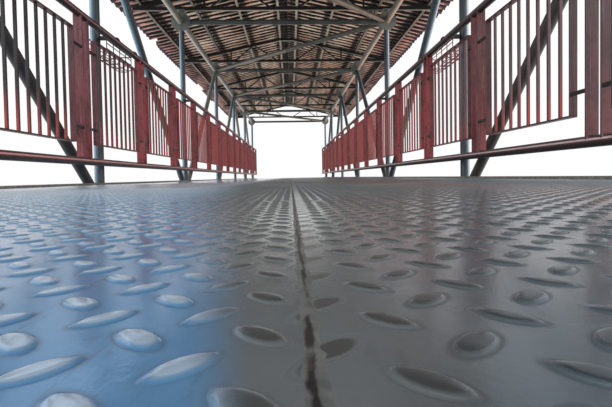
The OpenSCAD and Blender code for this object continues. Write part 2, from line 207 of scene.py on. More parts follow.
# Damage of the roof: a broken corner, two sheets that slipped, small holes (along the slope, y)
BROKEN_Y = -1.13
BROKEN_STEPS = [-0.09, -0.04, 0, 0.15, 0.23]
BROKEN_DEPTHS = [0, 0.05, 0.105, 0.035, 0]
SLIPPED = {14: -0.06, 16: 0.03}
UNEVEN = 0.009
HOLES = {1: [(2.018, -1.406), (1.454, -1.943), (1.018, -1.538)], -1: [(2.26, -1.46)]}
HOLE_ALONG = 0.035
HOLE_WIDE = 0.016

# Screws of the roof as radius and height, and anchor bolts of the feet
WASHER_UP = 0.003
SCREW_UP = 0.002
SCREW_WASHER = (0.015, 0.003)
SCREW_HEAD = (0.008, 0.011)
BOLT_GAP = 0.28
BASE_T = size("base_plates").z
BOLT_WASHER_R = 0.0185
BOLT_WASHER_T = 0.003
BOLT_NUT_R = 0.0173
BOLT_NUT_TOP = 0.019
BOLT_R = 0.01
BOLT_OVER = 0.034

# Camera of the photograph: a few centimetres above the near end of the deck, looking along it.
# The lens axis meets the picture a little above its middle.
EYE = (0.0423, -0.0106 - DECK_END, DECK + 0.0346)
CAMERA_YAW = 0.0364
CAMERA_PITCH = -0.0265
CAMERA_ROLL = -0.0176
FOCAL_PIXELS = 414.1
AXIS_ROW = 187.7
FRAME_PIXELS = 612
FRAME_ROWS = 407
SENSOR = 36

# Chequer plate. On each plate two lattices of lugs, turned against each other, lie one between
# the other. The plates of the two rows come from different rolls.
LATTICES = {"left": {"pitch": (0.0262, 0.028), "at": (0.0086, EYE[1] + 0.09)},
            "right": {"pitch": (0.0292, 0.0299), "at": (0.0648, EYE[1] + 0.0971)}}
LUG_LENGTH = 0.0165
LUG_WIDTH = 0.008
LUG_HEIGHT = 0.001
LUG_WEAR = (0.86, 1.08)
PLATE_END = 0.007
LUGS_UNTIL = DECK_JOINTS[1]

# Lugs are finer within these distances of the eye, where they are in its view
CLOSE = 0.36
NEAR = 1.0
LAST = 1.6
VIEW_SLOPE = 0.85
VIEW_START = 0.05

random = np.random.default_rng(7)


# Colours and node graphs

def colour(red, green, blue):
    """Linear colour with alpha, from the 0 to 255 values a screen shows."""
    def linear(value):
        share = value / 255
        if share <= 0.04045:
            return share / 12.92
        return ((share + 0.055) / 1.055) ** 2.4
    return (linear(red), linear(green), linear(blue), 1)


class Graph:
    """Node graph of one material, with short calls for the nodes that the materials share.

    A tuple of three is a colour as a screen shows it, from 0 to 255. paint is what the coats make.
    """

    def __init__(self, name):
        self.material = bpy.data.materials.new(name)
        self.material.use_nodes = True
        self.tree = self.material.node_tree
        self.tree.nodes.clear()
        self.place = self.add("ShaderNodeTexCoord").outputs["Object"]
        self.paint = None

    def feed(self, socket, value):
        if isinstance(value, bpy.types.NodeSocket):
            self.tree.links.new(value, socket)
        elif socket.type == "RGBA" and len(value) == 3:
            socket.default_value = colour(*value)
        else:
            socket.default_value = value

    def add(self, kind, inputs=None, **settings):
        made = self.tree.nodes.new(kind)
        for key, value in settings.items():
            setattr(made, key, value)
        for key, value in (inputs or {}).items():
            self.feed(made.inputs[key], value)
        return made

    def stretched(self, scale, turn=0):
        """Object coordinates times scale along each axis, turned about Z."""
        made = self.add("ShaderNodeMapping", {"Vector": self.place, "Scale": scale})
        made.inputs["Rotation"].default_value = (0, 0, turn)
        return made.outputs["Vector"]

    def noise(self, scale, detail=4, rough=0.55, at=None):
        inputs = {"Vector": at or self.place, "Scale": scale, "Detail": detail, "Roughness": rough}
        return self.add("ShaderNodeTexNoise", inputs).outputs["Fac"]

    def band(self, value, low, high, to_low=0.0, to_high=1.0):
        """Value from low..high taken to to_low..to_high, smoothly and within those limits."""
        inputs = {"Value": value, "From Min": low, "From Max": high,
                  "To Min": to_low, "To Max": to_high}
        made = self.add("ShaderNodeMapRange", inputs, interpolation_type="SMOOTHSTEP")
        return made.outputs["Result"]

    def math(self, operation, first, second=0.0, third=0.0):
        made = self.add("ShaderNodeMath", operation=operation)
        for socket, value in zip(made.inputs, (first, second, third)):
            self.feed(socket, value)
        return made.outputs["Value"]

    def vector(self, operation, first, second=(0, 0, 0), third=(0, 0, 0), output="Vector"):
        made = self.add("ShaderNodeVectorMath", operation=operation)
        for socket, value in zip(made.inputs, (first, second, third)):
            self.feed(socket, value)
        return made.outputs[output]

    def mix(self, share, first, second):
        made = self.add("ShaderNodeMix", data_type="RGBA")
        self.feed(made.inputs[0], share)
        self.feed(made.inputs[6], first)
        self.feed(made.inputs[7], second)
        return made.outputs[2]

    def axis(self, name):
        return self.add("ShaderNodeSeparateXYZ", {"Vector": self.place}).outputs[name]

    def facing(self, name):
        """One component of the direction that the surface faces."""
        normal = self.add("ShaderNodeNewGeometry").outputs["Normal"]
        return self.add("ShaderNodeSeparateXYZ", {"Vector": normal}).outputs[name]

    def inner(self):
        """How much the surface faces the middle of the bridge: 1 inwards, -1 outwards."""
        side = self.math("SIGN", self.axis("X"))
        return self.times(self.times(self.facing("X"), side), -1.0)

    def left(self):
        """1 on the left half of the bridge, 0 on the right half."""
        return self.math("LESS_THAN", self.axis("X"), 0.0)

    def times(self, first, second):
        return self.math("MULTIPLY", first, second)

    def plus(self, first, second):
        return self.math("ADD", first, second)

    def minus(self, first, second):
        return self.math("SUBTRACT", first, second)

    def line(self, value, slope, start):
        """Value times slope, plus start."""
        return self.math("MULTIPLY_ADD", value, slope, start)

    def absolute(self, value):
        return self.math("ABSOLUTE", value)

    def spots(self, noise, *limits):
        """Noise of a given scale, detail and roughness, taken through band."""
        return self.band(self.noise(*noise), *limits)

    def runs(self, scale, detail, rough, *limits):
        """Noise with its own scale along each axis, taken through band."""
        return self.band(self.noise(1, detail, rough, self.stretched(scale)), *limits)

    def coat(self, share, tint, strength=None):
        """Lays a colour over the paint, where share is 1 and as strongly as strength says."""
        if strength is not None:
            share = self.times(share, strength)
        self.paint = self.mix(share, self.paint, tint)

    def surface(self, rough, bump=None, depth=0.001, metal=0.0):
        """Ends the graph in a Principled shader. depth is the bump's height in metres."""
        inputs = {"Base Color": self.paint, "Roughness": rough, "Metallic": metal}
        shader = self.add("ShaderNodeBsdfPrincipled", inputs)
        if bump is not None:
            bumped = self.add("ShaderNodeBump", {"Height": bump, "Strength": 1.0, "Distance": depth})
            self.feed(shader.inputs["Normal"], bumped.outputs["Normal"])
        output = self.add("ShaderNodeOutputMaterial")
        self.feed(output.inputs["Surface"], shader.outputs["BSDF"])
        return self.material


# Materials

def painted_pipe(name, fresh, faded, dark, rust):
    """Old paint on steel: blotches, grime that ran down, scuffs, painted shade on the inner side, rusty
    chips.
    """
    g = Graph(name)
    blotch = g.spots((2.3, 5), 0.35, 0.65)
    g.paint = g.mix(blotch, fresh, faded)
    grime = g.runs((9, 9, 2.2), 6, 0.7, 0.5, 0.72)
    g.coat(grime, dark, 0.6)
    scuffs = g.spots((75, 6, 0.8), 0.6, 0.68)
    g.coat(scuffs, faded, 0.35)
    # Painted shade: faces turned to the middle of the bridge are darkened.
    g.coat(g.band(g.inner(), 0.1, 0.85, 0.0, 0.3), (38, 40, 42))
    return finish_pipe(g, rust, 0.66)


def finish_pipe(g, rust, rust_share):
    """Chips with rust and the fine grain that painted pipes share."""
    chips = g.spots((34, 8, 0.7), rust_share, rust_share + 0.03)
    return chipped(g, chips, rust, 260, (0.34, 0.46), 0.35, 0.25)


def chipped(g, chips, rust, grain_scale, smoothness, roughened, grain_height):
    """Ends a paint in chips that are sunk, rusty and rough, with a fine grain between them."""
    g.coat(chips, rust)
    fine = g.noise(grain_scale, 3)
    rough = g.plus(g.band(fine, 0.3, 0.7, *smoothness), g.times(chips, roughened))
    return g.surface(rough, g.minus(g.times(fine, grain_height), chips), 0.0004)


def chord_paint(name, fresh, faded, painted_light):
    """Grey paint under the roof, with a painted highlight along the outer lower edge of each pipe."""
    g = Graph(name)
    g.paint = g.mix(g.spots((2.3, 5), 0.35, 0.65), fresh, faded)
    grime = g.runs((9, 5, 9), 6, 0.7, 0.48, 0.68)
    g.coat(grime, (48, 48, 46), 0.6)
    # Painted highlight: faces turned outwards and down, or away and down, get a pale warm colour.
    down = g.times(g.facing("Z"), -1.0)
    outer_low = g.minus(g.times(down, 0.56), g.times(g.inner(), 0.83))
    far_low = g.plus(g.times(down, 0.83), g.times(g.facing("Y"), 0.56))
    light = g.math("MAXIMUM", g.band(outer_low, 0.6, 0.85), g.band(far_low, 0.66, 0.84, 0.0, 0.8))
    pale = g.mix(g.band(g.axis("X"), -0.5, 0.5), (202, 192, 176), (218, 178, 146))
    g.coat(light, pale, painted_light)
    return finish_pipe(g, (88, 60, 46), 0.66)


def web_paint(name, diagonal):
    """Blue-grey paint of verticals and diagonals: painted highlight on the outer side, painted shade on
    the inner side.
    """
    g = Graph(name)
    left = g.band(g.axis("X"), 0.6, -0.6)
    g.paint = g.mix(left, (86, 96, 104), (84, 106, 122))
    g.coat(g.spots((2.3, 5), 0.35, 0.65), (112, 130, 140), 0.35)
    # Painted highlight: the outer side is pale, as if lit from outside the bridge.
    outer = g.mix(left, (176, 190, 202), (118, 150, 166))
    g.coat(g.band(g.inner(), -0.1, -0.5, 0.0, 0.85), outer)
    grime = g.runs((9, 9, 2.2), 6, 0.7, 0.48, 0.7)
    g.coat(grime, (52, 56, 58), 0.6)
    # Painted shade on the faces turned to the middle of the bridge.
    inner_shade = g.mix(left, (36, 44, 52), (42, 46, 50))
    g.coat(g.band(g.inner(), 0.0, 0.7, 0.0, 0.87), inner_shade)
    if diagonal:
        y = g.axis("Y")
        low = g.band(g.axis("Z"), HANDRAIL_Z + 0.05, HANDRAIL_Z - 0.1)
        g.coat(low, (64, 56, 54), 0.7)
        near = g.band(y, NODE_Y[1] - 0.05, NODE_Y[1] - 0.2)
        g.coat(near, g.mix(left, (64, 60, 54), (46, 46, 46)), 0.9)
        far = g.band(y, NODE_Y[2] - 0.1, NODE_Y[2] + 0.1)
        g.coat(far, g.mix(left, (62, 64, 62), (118, 114, 104)), 0.7)
    return finish_pipe(g, (84, 58, 46), 0.67)


def frame_paint():
    """Near-black paint of roof trusses and purlins, with painted light where it faces down and painted
    shade on its upright faces.
    """
    g = Graph("frame_paint")
    g.paint = g.mix(g.spots((6, 5), 0.35, 0.65), (36, 35, 34), (58, 54, 50))
    below = g.band(g.facing("Z"), -0.4, -0.9)
    # Painted shade: faces that stand upright are darkened.
    upright = g.band(g.absolute(g.facing("Z")), 0.5, 0.2)
    g.coat(upright, (13, 14, 15), 0.82)
    # Painted light from below on faces turned down, weaker towards the sides.
    painted_light = g.mix(g.spots((11, 6, 0.7), 0.35, 0.65), (146, 138, 126), (196, 182, 162))
    away = g.band(g.absolute(g.axis("X")), 0.9, 1.2, 0.0, 0.62)
    painted_light = g.mix(away, painted_light, (62, 58, 54))
    g.coat(below, painted_light)
    rust = g.spots((26, 8, 0.72), 0.6, 0.66)
    g.coat(rust, (88, 58, 44), 0.8)
    return g.surface(g.spots((120, 4), 0.3, 0.7, 0.5, 0.7), g.noise(180, 4), 0.0004)


def rail_paint(name="rail_paint", dark=0.0):
    """Red-brown paint gone mauve with age, redder near the foot, with painted shade on the inner faces.
    """
    g = Graph(name)
    side = g.band(g.axis("X"), 0.6, -0.6)
    faded = g.mix(side, (86, 62, 66), (110, 84, 92))
    far = g.band(g.axis("Y"), NODE_Y[0] + 0.8, NODE_Y[1] + 0.8, 0.0, 0.85)
    fresh = g.mix(far, g.mix(side, (118, 56, 60), (134, 56, 62)), (182, 68, 70))
    high = g.band(g.axis("Z"), DECK + 0.15, DECK + 0.8)
    weather = g.times(high, g.spots((3.1, 5), 0.2, 0.5))
    weather = g.times(weather, g.minus(1.0, far))
    g.paint = g.mix(weather, fresh, faded)
    blotch = g.spots((11, 7, 0.75), 0.48, 0.6)
    g.coat(blotch, (72, 34, 38), 0.6)
    mottle = g.spots((95, 6, 0.8), 0.42, 0.62)
    g.coat(mottle, (86, 56, 60), 0.4)
    runs = g.runs((70, 70, 2.5), 7, 0.75, 0.47, 0.64)
    g.coat(runs, (54, 33, 38), 0.75)
    streaks = g.runs((120, 120, 4), 5, 0.7, 0.55, 0.68)
    g.coat(streaks, (160, 134, 138), 0.5)
    # Painted shade on the faces turned to the middle of the bridge.
    g.coat(g.band(g.inner(), 0.5, 0.95, 0.0, 0.7), (34, 20, 22))
    if dark:
        g.coat(dark, (48, 32, 34))
    chips = g.spots((48, 8, 0.72), 0.63, 0.66)
    return chipped(g, chips, (62, 36, 28), 300, (0.36, 0.5), 0.3, 0.3)


def rail_pipe_paint():
    """Handrails and lower rails: grime on top, a thin painted highlight line, brown below it, painted
    shade near black under.
    """
    g = Graph("rail_pipe_paint")
    far = g.band(g.axis("Y"), NODE_Y[1], NODE_Y[4])
    left = g.left()
    high = g.band(g.axis("Z"), DECK + 0.4, DECK + 0.8)
    up = g.facing("Z")
    low_brown = g.mix(left, (60, 37, 35), (78, 46, 44))
    brown = g.mix(high, low_brown, g.mix(left, (48, 28, 30), (42, 27, 28)))
    brown = g.mix(g.spots((7, 5, 0.65), 0.35, 0.65, 0.0, 0.7), brown, (66, 38, 38))
    # Painted shade: faces turned down are darkened.
    g.paint = g.mix(g.band(up, 0.15, -0.45, 0.0, 0.75), brown, (44, 30, 28))
    reddened = g.line(left, 0.25, 0.4)
    g.coat(far, g.mix(high, (124, 62, 56), (160, 66, 60)), reddened)
    # Painted shade, near black, on the underside.
    g.coat(g.band(up, -0.5, -0.92), (22, 18, 22))
    g.coat(g.band(up, 0.42, 0.62, 0.0, 0.9), (68, 60, 58))
    # Painted highlight: a thin pale line on the inner side, on faces turned further up on the lower
    # rail than on the handrail.
    centre = g.times(high, g.line(left, -0.35, -0.15))
    off = g.absolute(g.minus(g.minus(up, 0.3), centre))
    line = g.times(g.band(off, 0.26, 0.08), g.band(g.inner(), 0.1, 0.6))
    line = g.times(line, g.runs((40, 9, 40), 6, 0.75, 0.3, 0.5, 0.5, 1.0))
    line = g.times(line, g.line(high, -0.6, 1.0))
    painted_highlight = g.mix(left, (206, 176, 178), g.mix(far, (216, 150, 150), (236, 110, 96)))
    painted_highlight = g.mix(g.times(high, g.minus(1.0, left)), painted_highlight, (158, 138, 136))
    g.coat(line, painted_highlight)
    specks = g.runs((90, 30, 90), 7, 0.8, 0.62, 0.68)
    specks = g.times(specks, g.band(up, 0.0, 0.3))
    g.coat(specks, (196, 186, 184), 0.7)
    chips = g.spots((60, 8, 0.72), 0.62, 0.65)
    g.coat(chips, (54, 34, 28))
    rough = g.spots((220, 3), 0.3, 0.7, 0.36, 0.52)
    return g.surface(rough, g.noise(300, 3), 0.0003)


def bar_paint():
    """Paint of the railing bars: red towards the foot, above it painted shade near black on the left
    and mauve on the right.
    """
    g = Graph("bar_paint")
    foot = PANEL_LOW.z
    left = g.left()
    red = g.band(g.plus(g.axis("Z"), g.times(g.noise(9, 4), 0.2)), foot + 0.36, foot + 0.1)
    far = g.band(g.axis("Y"), NODE_Y[0] + 1.5, NODE_Y[2], 0.0, 0.85)
    # Above the red foot: painted shade, near black, on the left; mauve paint on the right.
    mauve_and_painted_shade = g.mix(left, (112, 80, 86), (26, 17, 24))
    g.paint = g.mix(g.math("MAXIMUM", red, far), mauve_and_painted_shade, (176, 64, 60))
    # Painted shade on the faces turned to the middle of the bridge.
    g.coat(g.band(g.inner(), 0.4, 0.9, 0.0, 0.8), (26, 16, 20))
    runs = g.runs((90, 90, 3), 6, 0.75, 0.5, 0.62)
    g.coat(runs, (46, 30, 32), 0.5)
    return g.surface(g.spots((200, 3), 0.3, 0.7, 0.38, 0.52), g.noise(300, 3), 0.0002)


def lug_distance(g, lattice, turn, shift):
    """How far a place is from the nearest lug of one lattice: 1 at the edge of the lug."""
    pitch = lattice["pitch"]
    start = [0.5 - at / step - shift for at, step in zip(lattice["at"], pitch)]
    scale = (1 / pitch[0], 1 / pitch[1], 0)
    cell = g.vector("FRACTION", g.vector("MULTIPLY_ADD", g.place, scale, (*start, 0.5)))
    cell = g.vector("MULTIPLY", g.vector("SUBTRACT", cell, (0.5, 0.5, 0.5)), (*pitch, 0))
    turned = g.add("ShaderNodeMapping", {"Vector": cell}, vector_type="TEXTURE")
    turned.inputs["Rotation"].default_value = (0, 0, turn * math.pi / 4)
    turned.inputs["Scale"].default_value = (LUG_LENGTH / 2, LUG_WIDTH / 2, 1)
    return g.vector("LENGTH", turned.outputs["Vector"], output="Value")


def deck_steel():
    """Worn chequer plate: polished lugs with painted glints, dirt and painted shade round them, a grey
    middle with painted sky reflection in blue to each side, and painted dark and orange reflections on
    the right.
    """
    g = Graph("deck_steel")
    x = g.axis("X")
    y = g.axis("Y")
    nearest = [g.math("MINIMUM", lug_distance(g, lattice, -1, 0), lug_distance(g, lattice, 1, 0.5))
               for lattice in LATTICES.values()]
    right = g.math("GREATER_THAN", x, SEAM_X)
    kept = g.times(nearest[0], g.minus(1.0, right))
    near_lug = g.line(nearest[1], right, kept)

    # Sideways bearing of each place as seen from the eye; the painted reflections below follow it.
    ahead = g.math("MINIMUM", g.math("MAXIMUM", g.minus(y, EYE[1]), 0.04), 1.6)
    bearing_from_eye = g.math("DIVIDE", g.minus(x, EYE[0]), ahead)
    broad = g.noise(1.7, 6, 0.6)
    bearing_from_eye = g.plus(bearing_from_eye, g.times(g.minus(broad, 0.5), 0.12))
    away = g.band(y, EYE[1] + 0.3, EYE[1] + 1.6)
    # Painted sky reflection: blue to the left, paler further away; a weaker cool tint to the right.
    blue = g.mix(g.band(broad, 0.3, 0.7), (104, 158, 206), (142, 186, 220))
    blue = g.mix(away, blue, (206, 234, 254))
    grey = g.mix(g.band(broad, 0.3, 0.7), (118, 126, 130), (146, 150, 150))
    cool = g.mix(0.4, grey, (100, 136, 158))
    leftness = g.band(bearing_from_eye, -0.1, -0.3)
    g.paint = g.mix(leftness, grey, blue)
    g.coat(g.band(bearing_from_eye, 0.35, 0.6), cool)
    # Painted reflection of the dark roof: darker right of the middle, near the eye.
    dark_reflection = g.times(g.band(bearing_from_eye, 0.1, 0.45), g.band(y, EYE[1] + 1.1, EYE[1] + 0.3))
    g.coat(dark_reflection, (62, 70, 76), 0.45)
    # Painted reflection of something orange, laid on in stain-like patches right of the seam.
    orange_reflection_x = g.absolute(g.minus(x, 0.62))
    orange_reflection = g.band(g.plus(orange_reflection_x, g.times(g.noise(2.2, 6, 0.7), 0.5)), 0.62, 0.3)
    orange_reflection = g.times(orange_reflection, g.spots((14, 7, 0.75), 0.4, 0.62))
    g.coat(orange_reflection, (190, 112, 80), 0.4)
    dust = g.spots((23, 7, 0.75), 0.5, 0.75)
    g.coat(dust, (96, 92, 86), 0.2)
    scuff = g.band(g.noise(1, 5, 0.7, g.stretched((120, 24, 1), 0.3)), 0.56, 0.68)
    g.coat(scuff, (60, 64, 68), 0.2)
    # Darker ring round the foot of each lug: dirt, and painted shade where the lug meets the plate.
    round_lug = g.times(g.band(near_lug, 1.35, 1.02), g.band(near_lug, 0.8, 0.98))
    grime = g.times(round_lug, g.spots((31, 5, 0.7), 0.15, 0.6))
    g.coat(grime, (34, 36, 40), 0.45)
    worn = g.band(near_lug, 0.9, 0.6)
    # Painted glint: lug tops lighter on the left, more so further away.
    painted_glint = g.times(worn, g.line(away, 0.4, 0.55))
    g.coat(painted_glint, (220, 234, 246), leftness)
    # Painted shade on the plate between the lugs, further away.
    between = g.times(g.minus(1.0, worn), away)
    g.coat(between, g.mix(leftness, (74, 76, 78), (92, 130, 170)), 0.4)

    beyond = g.math("GREATER_THAN", y, LUGS_UNTIL)
    rough = g.spots((70, 5, 0.7), 0.25, 0.75, 0.13, 0.24)
    rough = g.plus(rough, g.times(grime, 0.3))
    rough = g.plus(rough, g.times(worn, 0.12))
    rough = g.plus(rough, g.times(g.math("MAXIMUM", beyond, away), 0.2))
    bare = g.spots((70, 5, 0.7), 0.25, 0.75, 0.1, 0.18)
    rough = g.line(g.minus(bare, rough), leftness, rough)
    metal = g.line(worn, 0.45, 0.34)
    metal = g.minus(metal, g.times(grime, 0.3))
    metal = g.times(metal, g.minus(1.0, g.times(away, 0.85)))
    metal = g.times(metal, g.minus(1.0, g.times(worn, g.times(leftness, 0.6))))
    lug_bump = g.times(g.band(near_lug, 1.05, 0.6), g.times(beyond, LUG_HEIGHT * 0.6))
    grain = g.times(g.noise(420, 4, 0.7), 0.00006)
    sway = g.times(g.noise(4, 3), 0.002)
    height = g.plus(g.plus(grain, sway), lug_bump)
    return g.surface(rough, height, 1.0, metal)


def seam_fill():
    """Trodden dirt that fills the seam and the joints, with a ragged dark crack in the seam."""
    g = Graph("seam_fill")
    g.paint = g.mix(g.spots((160, 6, 0.7), 0.35, 0.65), (84, 88, 88), (110, 112, 110))
    g.coat(g.band(g.axis("Y"), DECK_JOINTS[0] - 0.1, DECK_JOINTS[0] + 0.3), (42, 42, 42))
    wander = g.times(g.minus(g.noise(26, 4, 0.6), 0.5), 0.005)
    off = g.absolute(g.plus(g.minus(g.axis("X"), SEAM_X), wander))
    wide = g.spots((60, 3, 0.6), 0.3, 0.72, 0.0, 0.0011)
    crack = g.band(g.minus(off, wide), -0.0002, 0.0005, 1.0, 0.0)
    crack = g.times(crack, g.spots((38, 2), 0.32, 0.42))
    g.coat(crack, (26, 22, 24), 0.92)
    height = g.minus(g.times(g.noise(300, 4), 0.3), crack)
    return g.surface(0.4, height, 0.0006)


def roof_paint():
    """Corrugated roof sheet: red-brown on top; below it painted light on the ribs, painted shade in the
    hollows and painted shadows beside the purlins.
    """
    g = Graph("roof_paint")
    left = g.left()
    shift = g.line(left, ROOF_SHIFT[-1] - ROOF_SHIFT[1], ROOF_SHIFT[1])
    sway = g.times(g.minus(g.noise(1, 4, 0.6, g.stretched((2.5, 1.2, 2.5))), 0.5), 0.07)
    at = g.plus(g.minus(g.axis("Y"), shift), sway)
    turn = g.math("COSINE", g.times(at, 2 * math.pi / WAVE))
    smear = g.times(g.minus(g.noise(1, 6, 0.75, g.stretched((3, 30, 3))), 0.5), 1.5)
    rib = g.band(g.plus(turn, smear), 0.25, 0.8)
    patch = g.spots((1.3, 6, 0.7), 0.38, 0.62)
    # Painted light and shade below the sheet: ribs pale, hollows near black.
    painted_rib_light = g.mix(patch, (212, 164, 140), (246, 220, 196))
    out = g.absolute(g.axis("X"))
    painted_rib_light = g.mix(g.band(out, 1.4, 2.1, 0.0, 0.7), painted_rib_light, (150, 96, 94))
    g.paint = g.mix(rib, (15, 11, 11), painted_rib_light)
    spots = g.spots((42, 7, 0.75), 0.56, 0.64)
    g.coat(spots, (66, 44, 38), 0.6)
    # Painted shadow of each purlin on the sheet, just on its ridge side.
    for from_left, from_right in zip(PURLIN_X[-1], PURLIN_X[1]):
        purlin = g.line(left, from_left - from_right, from_right)
        inside = g.minus(purlin, out)
        shadow = g.times(g.band(inside, 0.0, 0.03), g.band(inside, 0.12, 0.08))
        g.coat(shadow, (16, 16, 18), 0.8)
    g.coat(g.band(out, 0.14, 0.08, 0.0, 0.62), (20, 17, 16))
    g.coat(g.band(out, EAVE - 0.09, EAVE - 0.03, 0.0, 0.85), (46, 28, 42))
    below = g.paint
    g.paint = g.mix(g.spots((1.9, 6, 0.65), 0.35, 0.65), (128, 74, 62), (160, 112, 98))
    streaks = g.runs((1.6, 26, 1.6), 6, 0.7, 0.45, 0.7)
    g.coat(streaks, (78, 52, 46), 0.6)
    lichen = g.spots((17, 8, 0.78), 0.6, 0.66)
    g.coat(lichen, (150, 148, 132), 0.6)
    under = g.band(g.facing("Z"), 0.1, -0.1)
    g.coat(under, below)
    rough = g.spots((60, 4), 0.3, 0.7, 0.55, 0.8)
    return g.surface(rough, g.noise(200, 4), 0.0004)


def plain_metal(name, light, dark, rough_low, rough_high, metal=0.0):
    """Small metal parts: two tones in fine blotches, with a rough grain."""
    g = Graph(name)
    g.paint = g.mix(g.spots((40, 6, 0.7), 0.35, 0.65), light, dark)
    rough = g.spots((150, 4), 0.3, 0.7, rough_low, rough_high)
    return g.surface(rough, g.noise(500, 3), 0.0002, metal=metal)


# Meshes

def scene_object(name, data):
    """A new object in the scene."""
    made = bpy.data.objects.new(name, data)
    bpy.context.scene.collection.objects.link(made)
    return made


def mesh_object(name, verts, faces, material, smooth=True):
    """A mesh piece from arrays of points and faces. It rides on the bridge's only body."""
    mesh = bpy.data.meshes.new(name)
    mesh.from_pydata([tuple(v) for v in verts], [], [tuple(f) for f in faces])
    mesh.validate()
    mesh.polygons.foreach_set("use_smooth", [smooth] * len(mesh.polygons))
    mesh.materials.append(material)
    made = scene_object(name, mesh)
    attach(made, "root")
    return made


class Parts:
    """Collects points and faces of many small shapes into one piece."""

    def __init__(self):
        self.verts = []
        self.faces = []
        self.count = 0

    def take(self, verts, faces):
        self.verts.append(np.asarray(verts, float))
        self.faces += [tuple(self.count + i for i in face) for face in faces]
        self.count += len(verts)

    def box(self, *sizes):
        self.take(*box(*sizes))

    def tube(self, *sizes):
        self.take(*tube(*sizes))

    def dome(self, *sizes):
        self.take(*dome(*sizes))

    def piece(self, name, material, smooth=True):
        return mesh_object(name, np.concatenate(self.verts), self.faces, material, smooth)


def box_shape():
    """Corner signs and faces of a box with its edges cut off, one point per corner and axis."""
    corners = [(x, y, z) for x in (-1, 1) for y in (-1, 1) for z in (-1, 1)]
    points = [(c, axis) for c in corners for axis in range(3)]
    number = {p: n for n, p in enumerate(points)}
    faces = [[number[(c, axis)] for axis in range(3)] for c in corners]
    for axis in range(3):
        one, two = [a for a in range(3) if a != axis]
        for sign in (-1, 1):
            ring = [c for c in corners if c[axis] == sign]
            ring.sort(key=lambda c: math.atan2(c[two], c[one]))
            faces.append([number[(c, axis)] for c in ring])
        for s_one in (-1, 1):
            for s_two in (-1, 1):
                low, high = [c for c in corners if c[one] == s_one and c[two] == s_two]
                faces.append([number[(low, one)], number[(high, one)],
                              number[(high, two)], number[(low, two)]])
    sure = []
    where = np.array([[s * (1.0 if a == axis else 0.9) for a, s in enumerate(c)] for c, axis in points])
    for face in faces:
        p = where[face]
        normal = np.cross(p[1] - p[0], p[2] - p[0])
        sure.append(face if normal @ p.mean(axis=0) > 0 else face[::-1])
    return points, sure


BOX_POINTS, BOX_FACES = box_shape()


def box(low, high, edge=0.0012):
    """Box between two corners with its edges cut off."""
    low = np.array(low, float)
    high = np.array(high, float)
    centre = (low + high) / 2
    half = (high - low) / 2
    verts = [[centre[a] + c[a] * (half[a] - (0 if a == axis else edge)) for a in range(3)]
             for c, axis in BOX_POINTS]
    return np.array(verts), BOX_FACES


def frame_of(axis):
    """Two directions square to an axis."""
    axis = axis / np.linalg.norm(axis)
    helper = np.array([0, 0, 1.0]) if abs(axis[2]) < 0.9 else np.array([1.0, 0, 0])
    first = np.cross(axis, helper)
    first /= np.linalg.norm(first)
    return first, np.cross(axis, first)


def ring_faces(rings, sides):
    """Faces between rings of points that follow each other, each ring with as many sides."""
    starts = [ring * sides for ring in range(rings - 1)]
    return [(start + s, start + (s + 1) % sides, start + sides + (s + 1) % sides, start + sides + s)
            for start in starts for s in range(sides)]


def circle(first, second, radius, sides):
    """Points of a circle about zero, spanned by two directions."""
    turns = [2 * math.pi * s / sides for s in range(sides)]
    return [radius * (math.cos(turn) * first + math.sin(turn) * second) for turn in turns]


def tube(points, radius, sides=6, closed=False, ripple=0.0):
    """Tube along points. With ripple it is a hand-laid weld bead."""
    points = np.asarray(points, float)
    count = len(points)
    verts = []
    first = None
    for k in range(count):
        if closed:
            tangent = points[(k + 1) % count] - points[k - 1]
        else:
            tangent = points[min(k + 1, count - 1)] - points[max(k - 1, 0)]
        tangent /= np.linalg.norm(tangent)
        if first is None:
            first, second = frame_of(tangent)
        else:
            first = first - (first @ tangent) * tangent
            first /= np.linalg.norm(first)
            second = np.cross(tangent, first)
        thick = radius * (1 + ripple * random.uniform(-1, 1))
        verts += [points[k] + out for out in circle(first, second, thick, sides)]
    faces = ring_faces(count, sides)
    if closed:
        end = (count - 1) * sides
        faces += [(end + s, end + (s + 1) % sides, (s + 1) % sides, s) for s in range(sides)]
    else:
        faces.append(tuple(range(sides - 1, -1, -1)))
        faces.append(tuple((count - 1) * sides + s for s in range(sides)))
    return np.array(verts), faces


def dome(centre, axis, radius, height, sides=10, rings=3):
    """Low dome that stands on a plane square to an axis."""
    axis = np.array(axis, float) / np.linalg.norm(axis)
    first, second = frame_of(axis)
    verts = []
    for ring in range(rings):
        lift = ring / rings * math.pi / 2
        for out in circle(first, second, radius * math.cos(lift), sides):
            verts.append(np.array(centre) + out + height * math.sin(lift) * axis)
    verts.append(np.array(centre) + height * axis)
    faces = ring_faces(rings, sides)
    last = (rings - 1) * sides
    faces += [(last + s, last + (s + 1) % sides, len(verts) - 1) for s in range(sides)]
    faces.append(tuple(range(sides - 1, -1, -1)))
    return np.array(verts), faces


# Chequer plate

def lug_template(segments, rings):
    """One raised lug: an oval with pointed ends, a soft foot and a rounded top, long axis along X."""
    turns = [2 * math.pi * k / segments for k in range(segments)]
    verts = []
    for share, rise in rings:
        for turn in turns:
            across = math.sin(turn)
            verts.append((LUG_LENGTH / 2 * share * math.cos(turn),
                          LUG_WIDTH / 2 * share * across * abs(across) ** 0.25,
                          LUG_HEIGHT * rise))
    faces = ring_faces(len(rings), segments)
    top = len(verts)
    verts.append((0, 0, LUG_HEIGHT))
    last = (len(rings) - 1) * segments
    faces += [(last + k, last + (k + 1) % segments, top) for k in range(segments)]
    return np.array(verts), faces


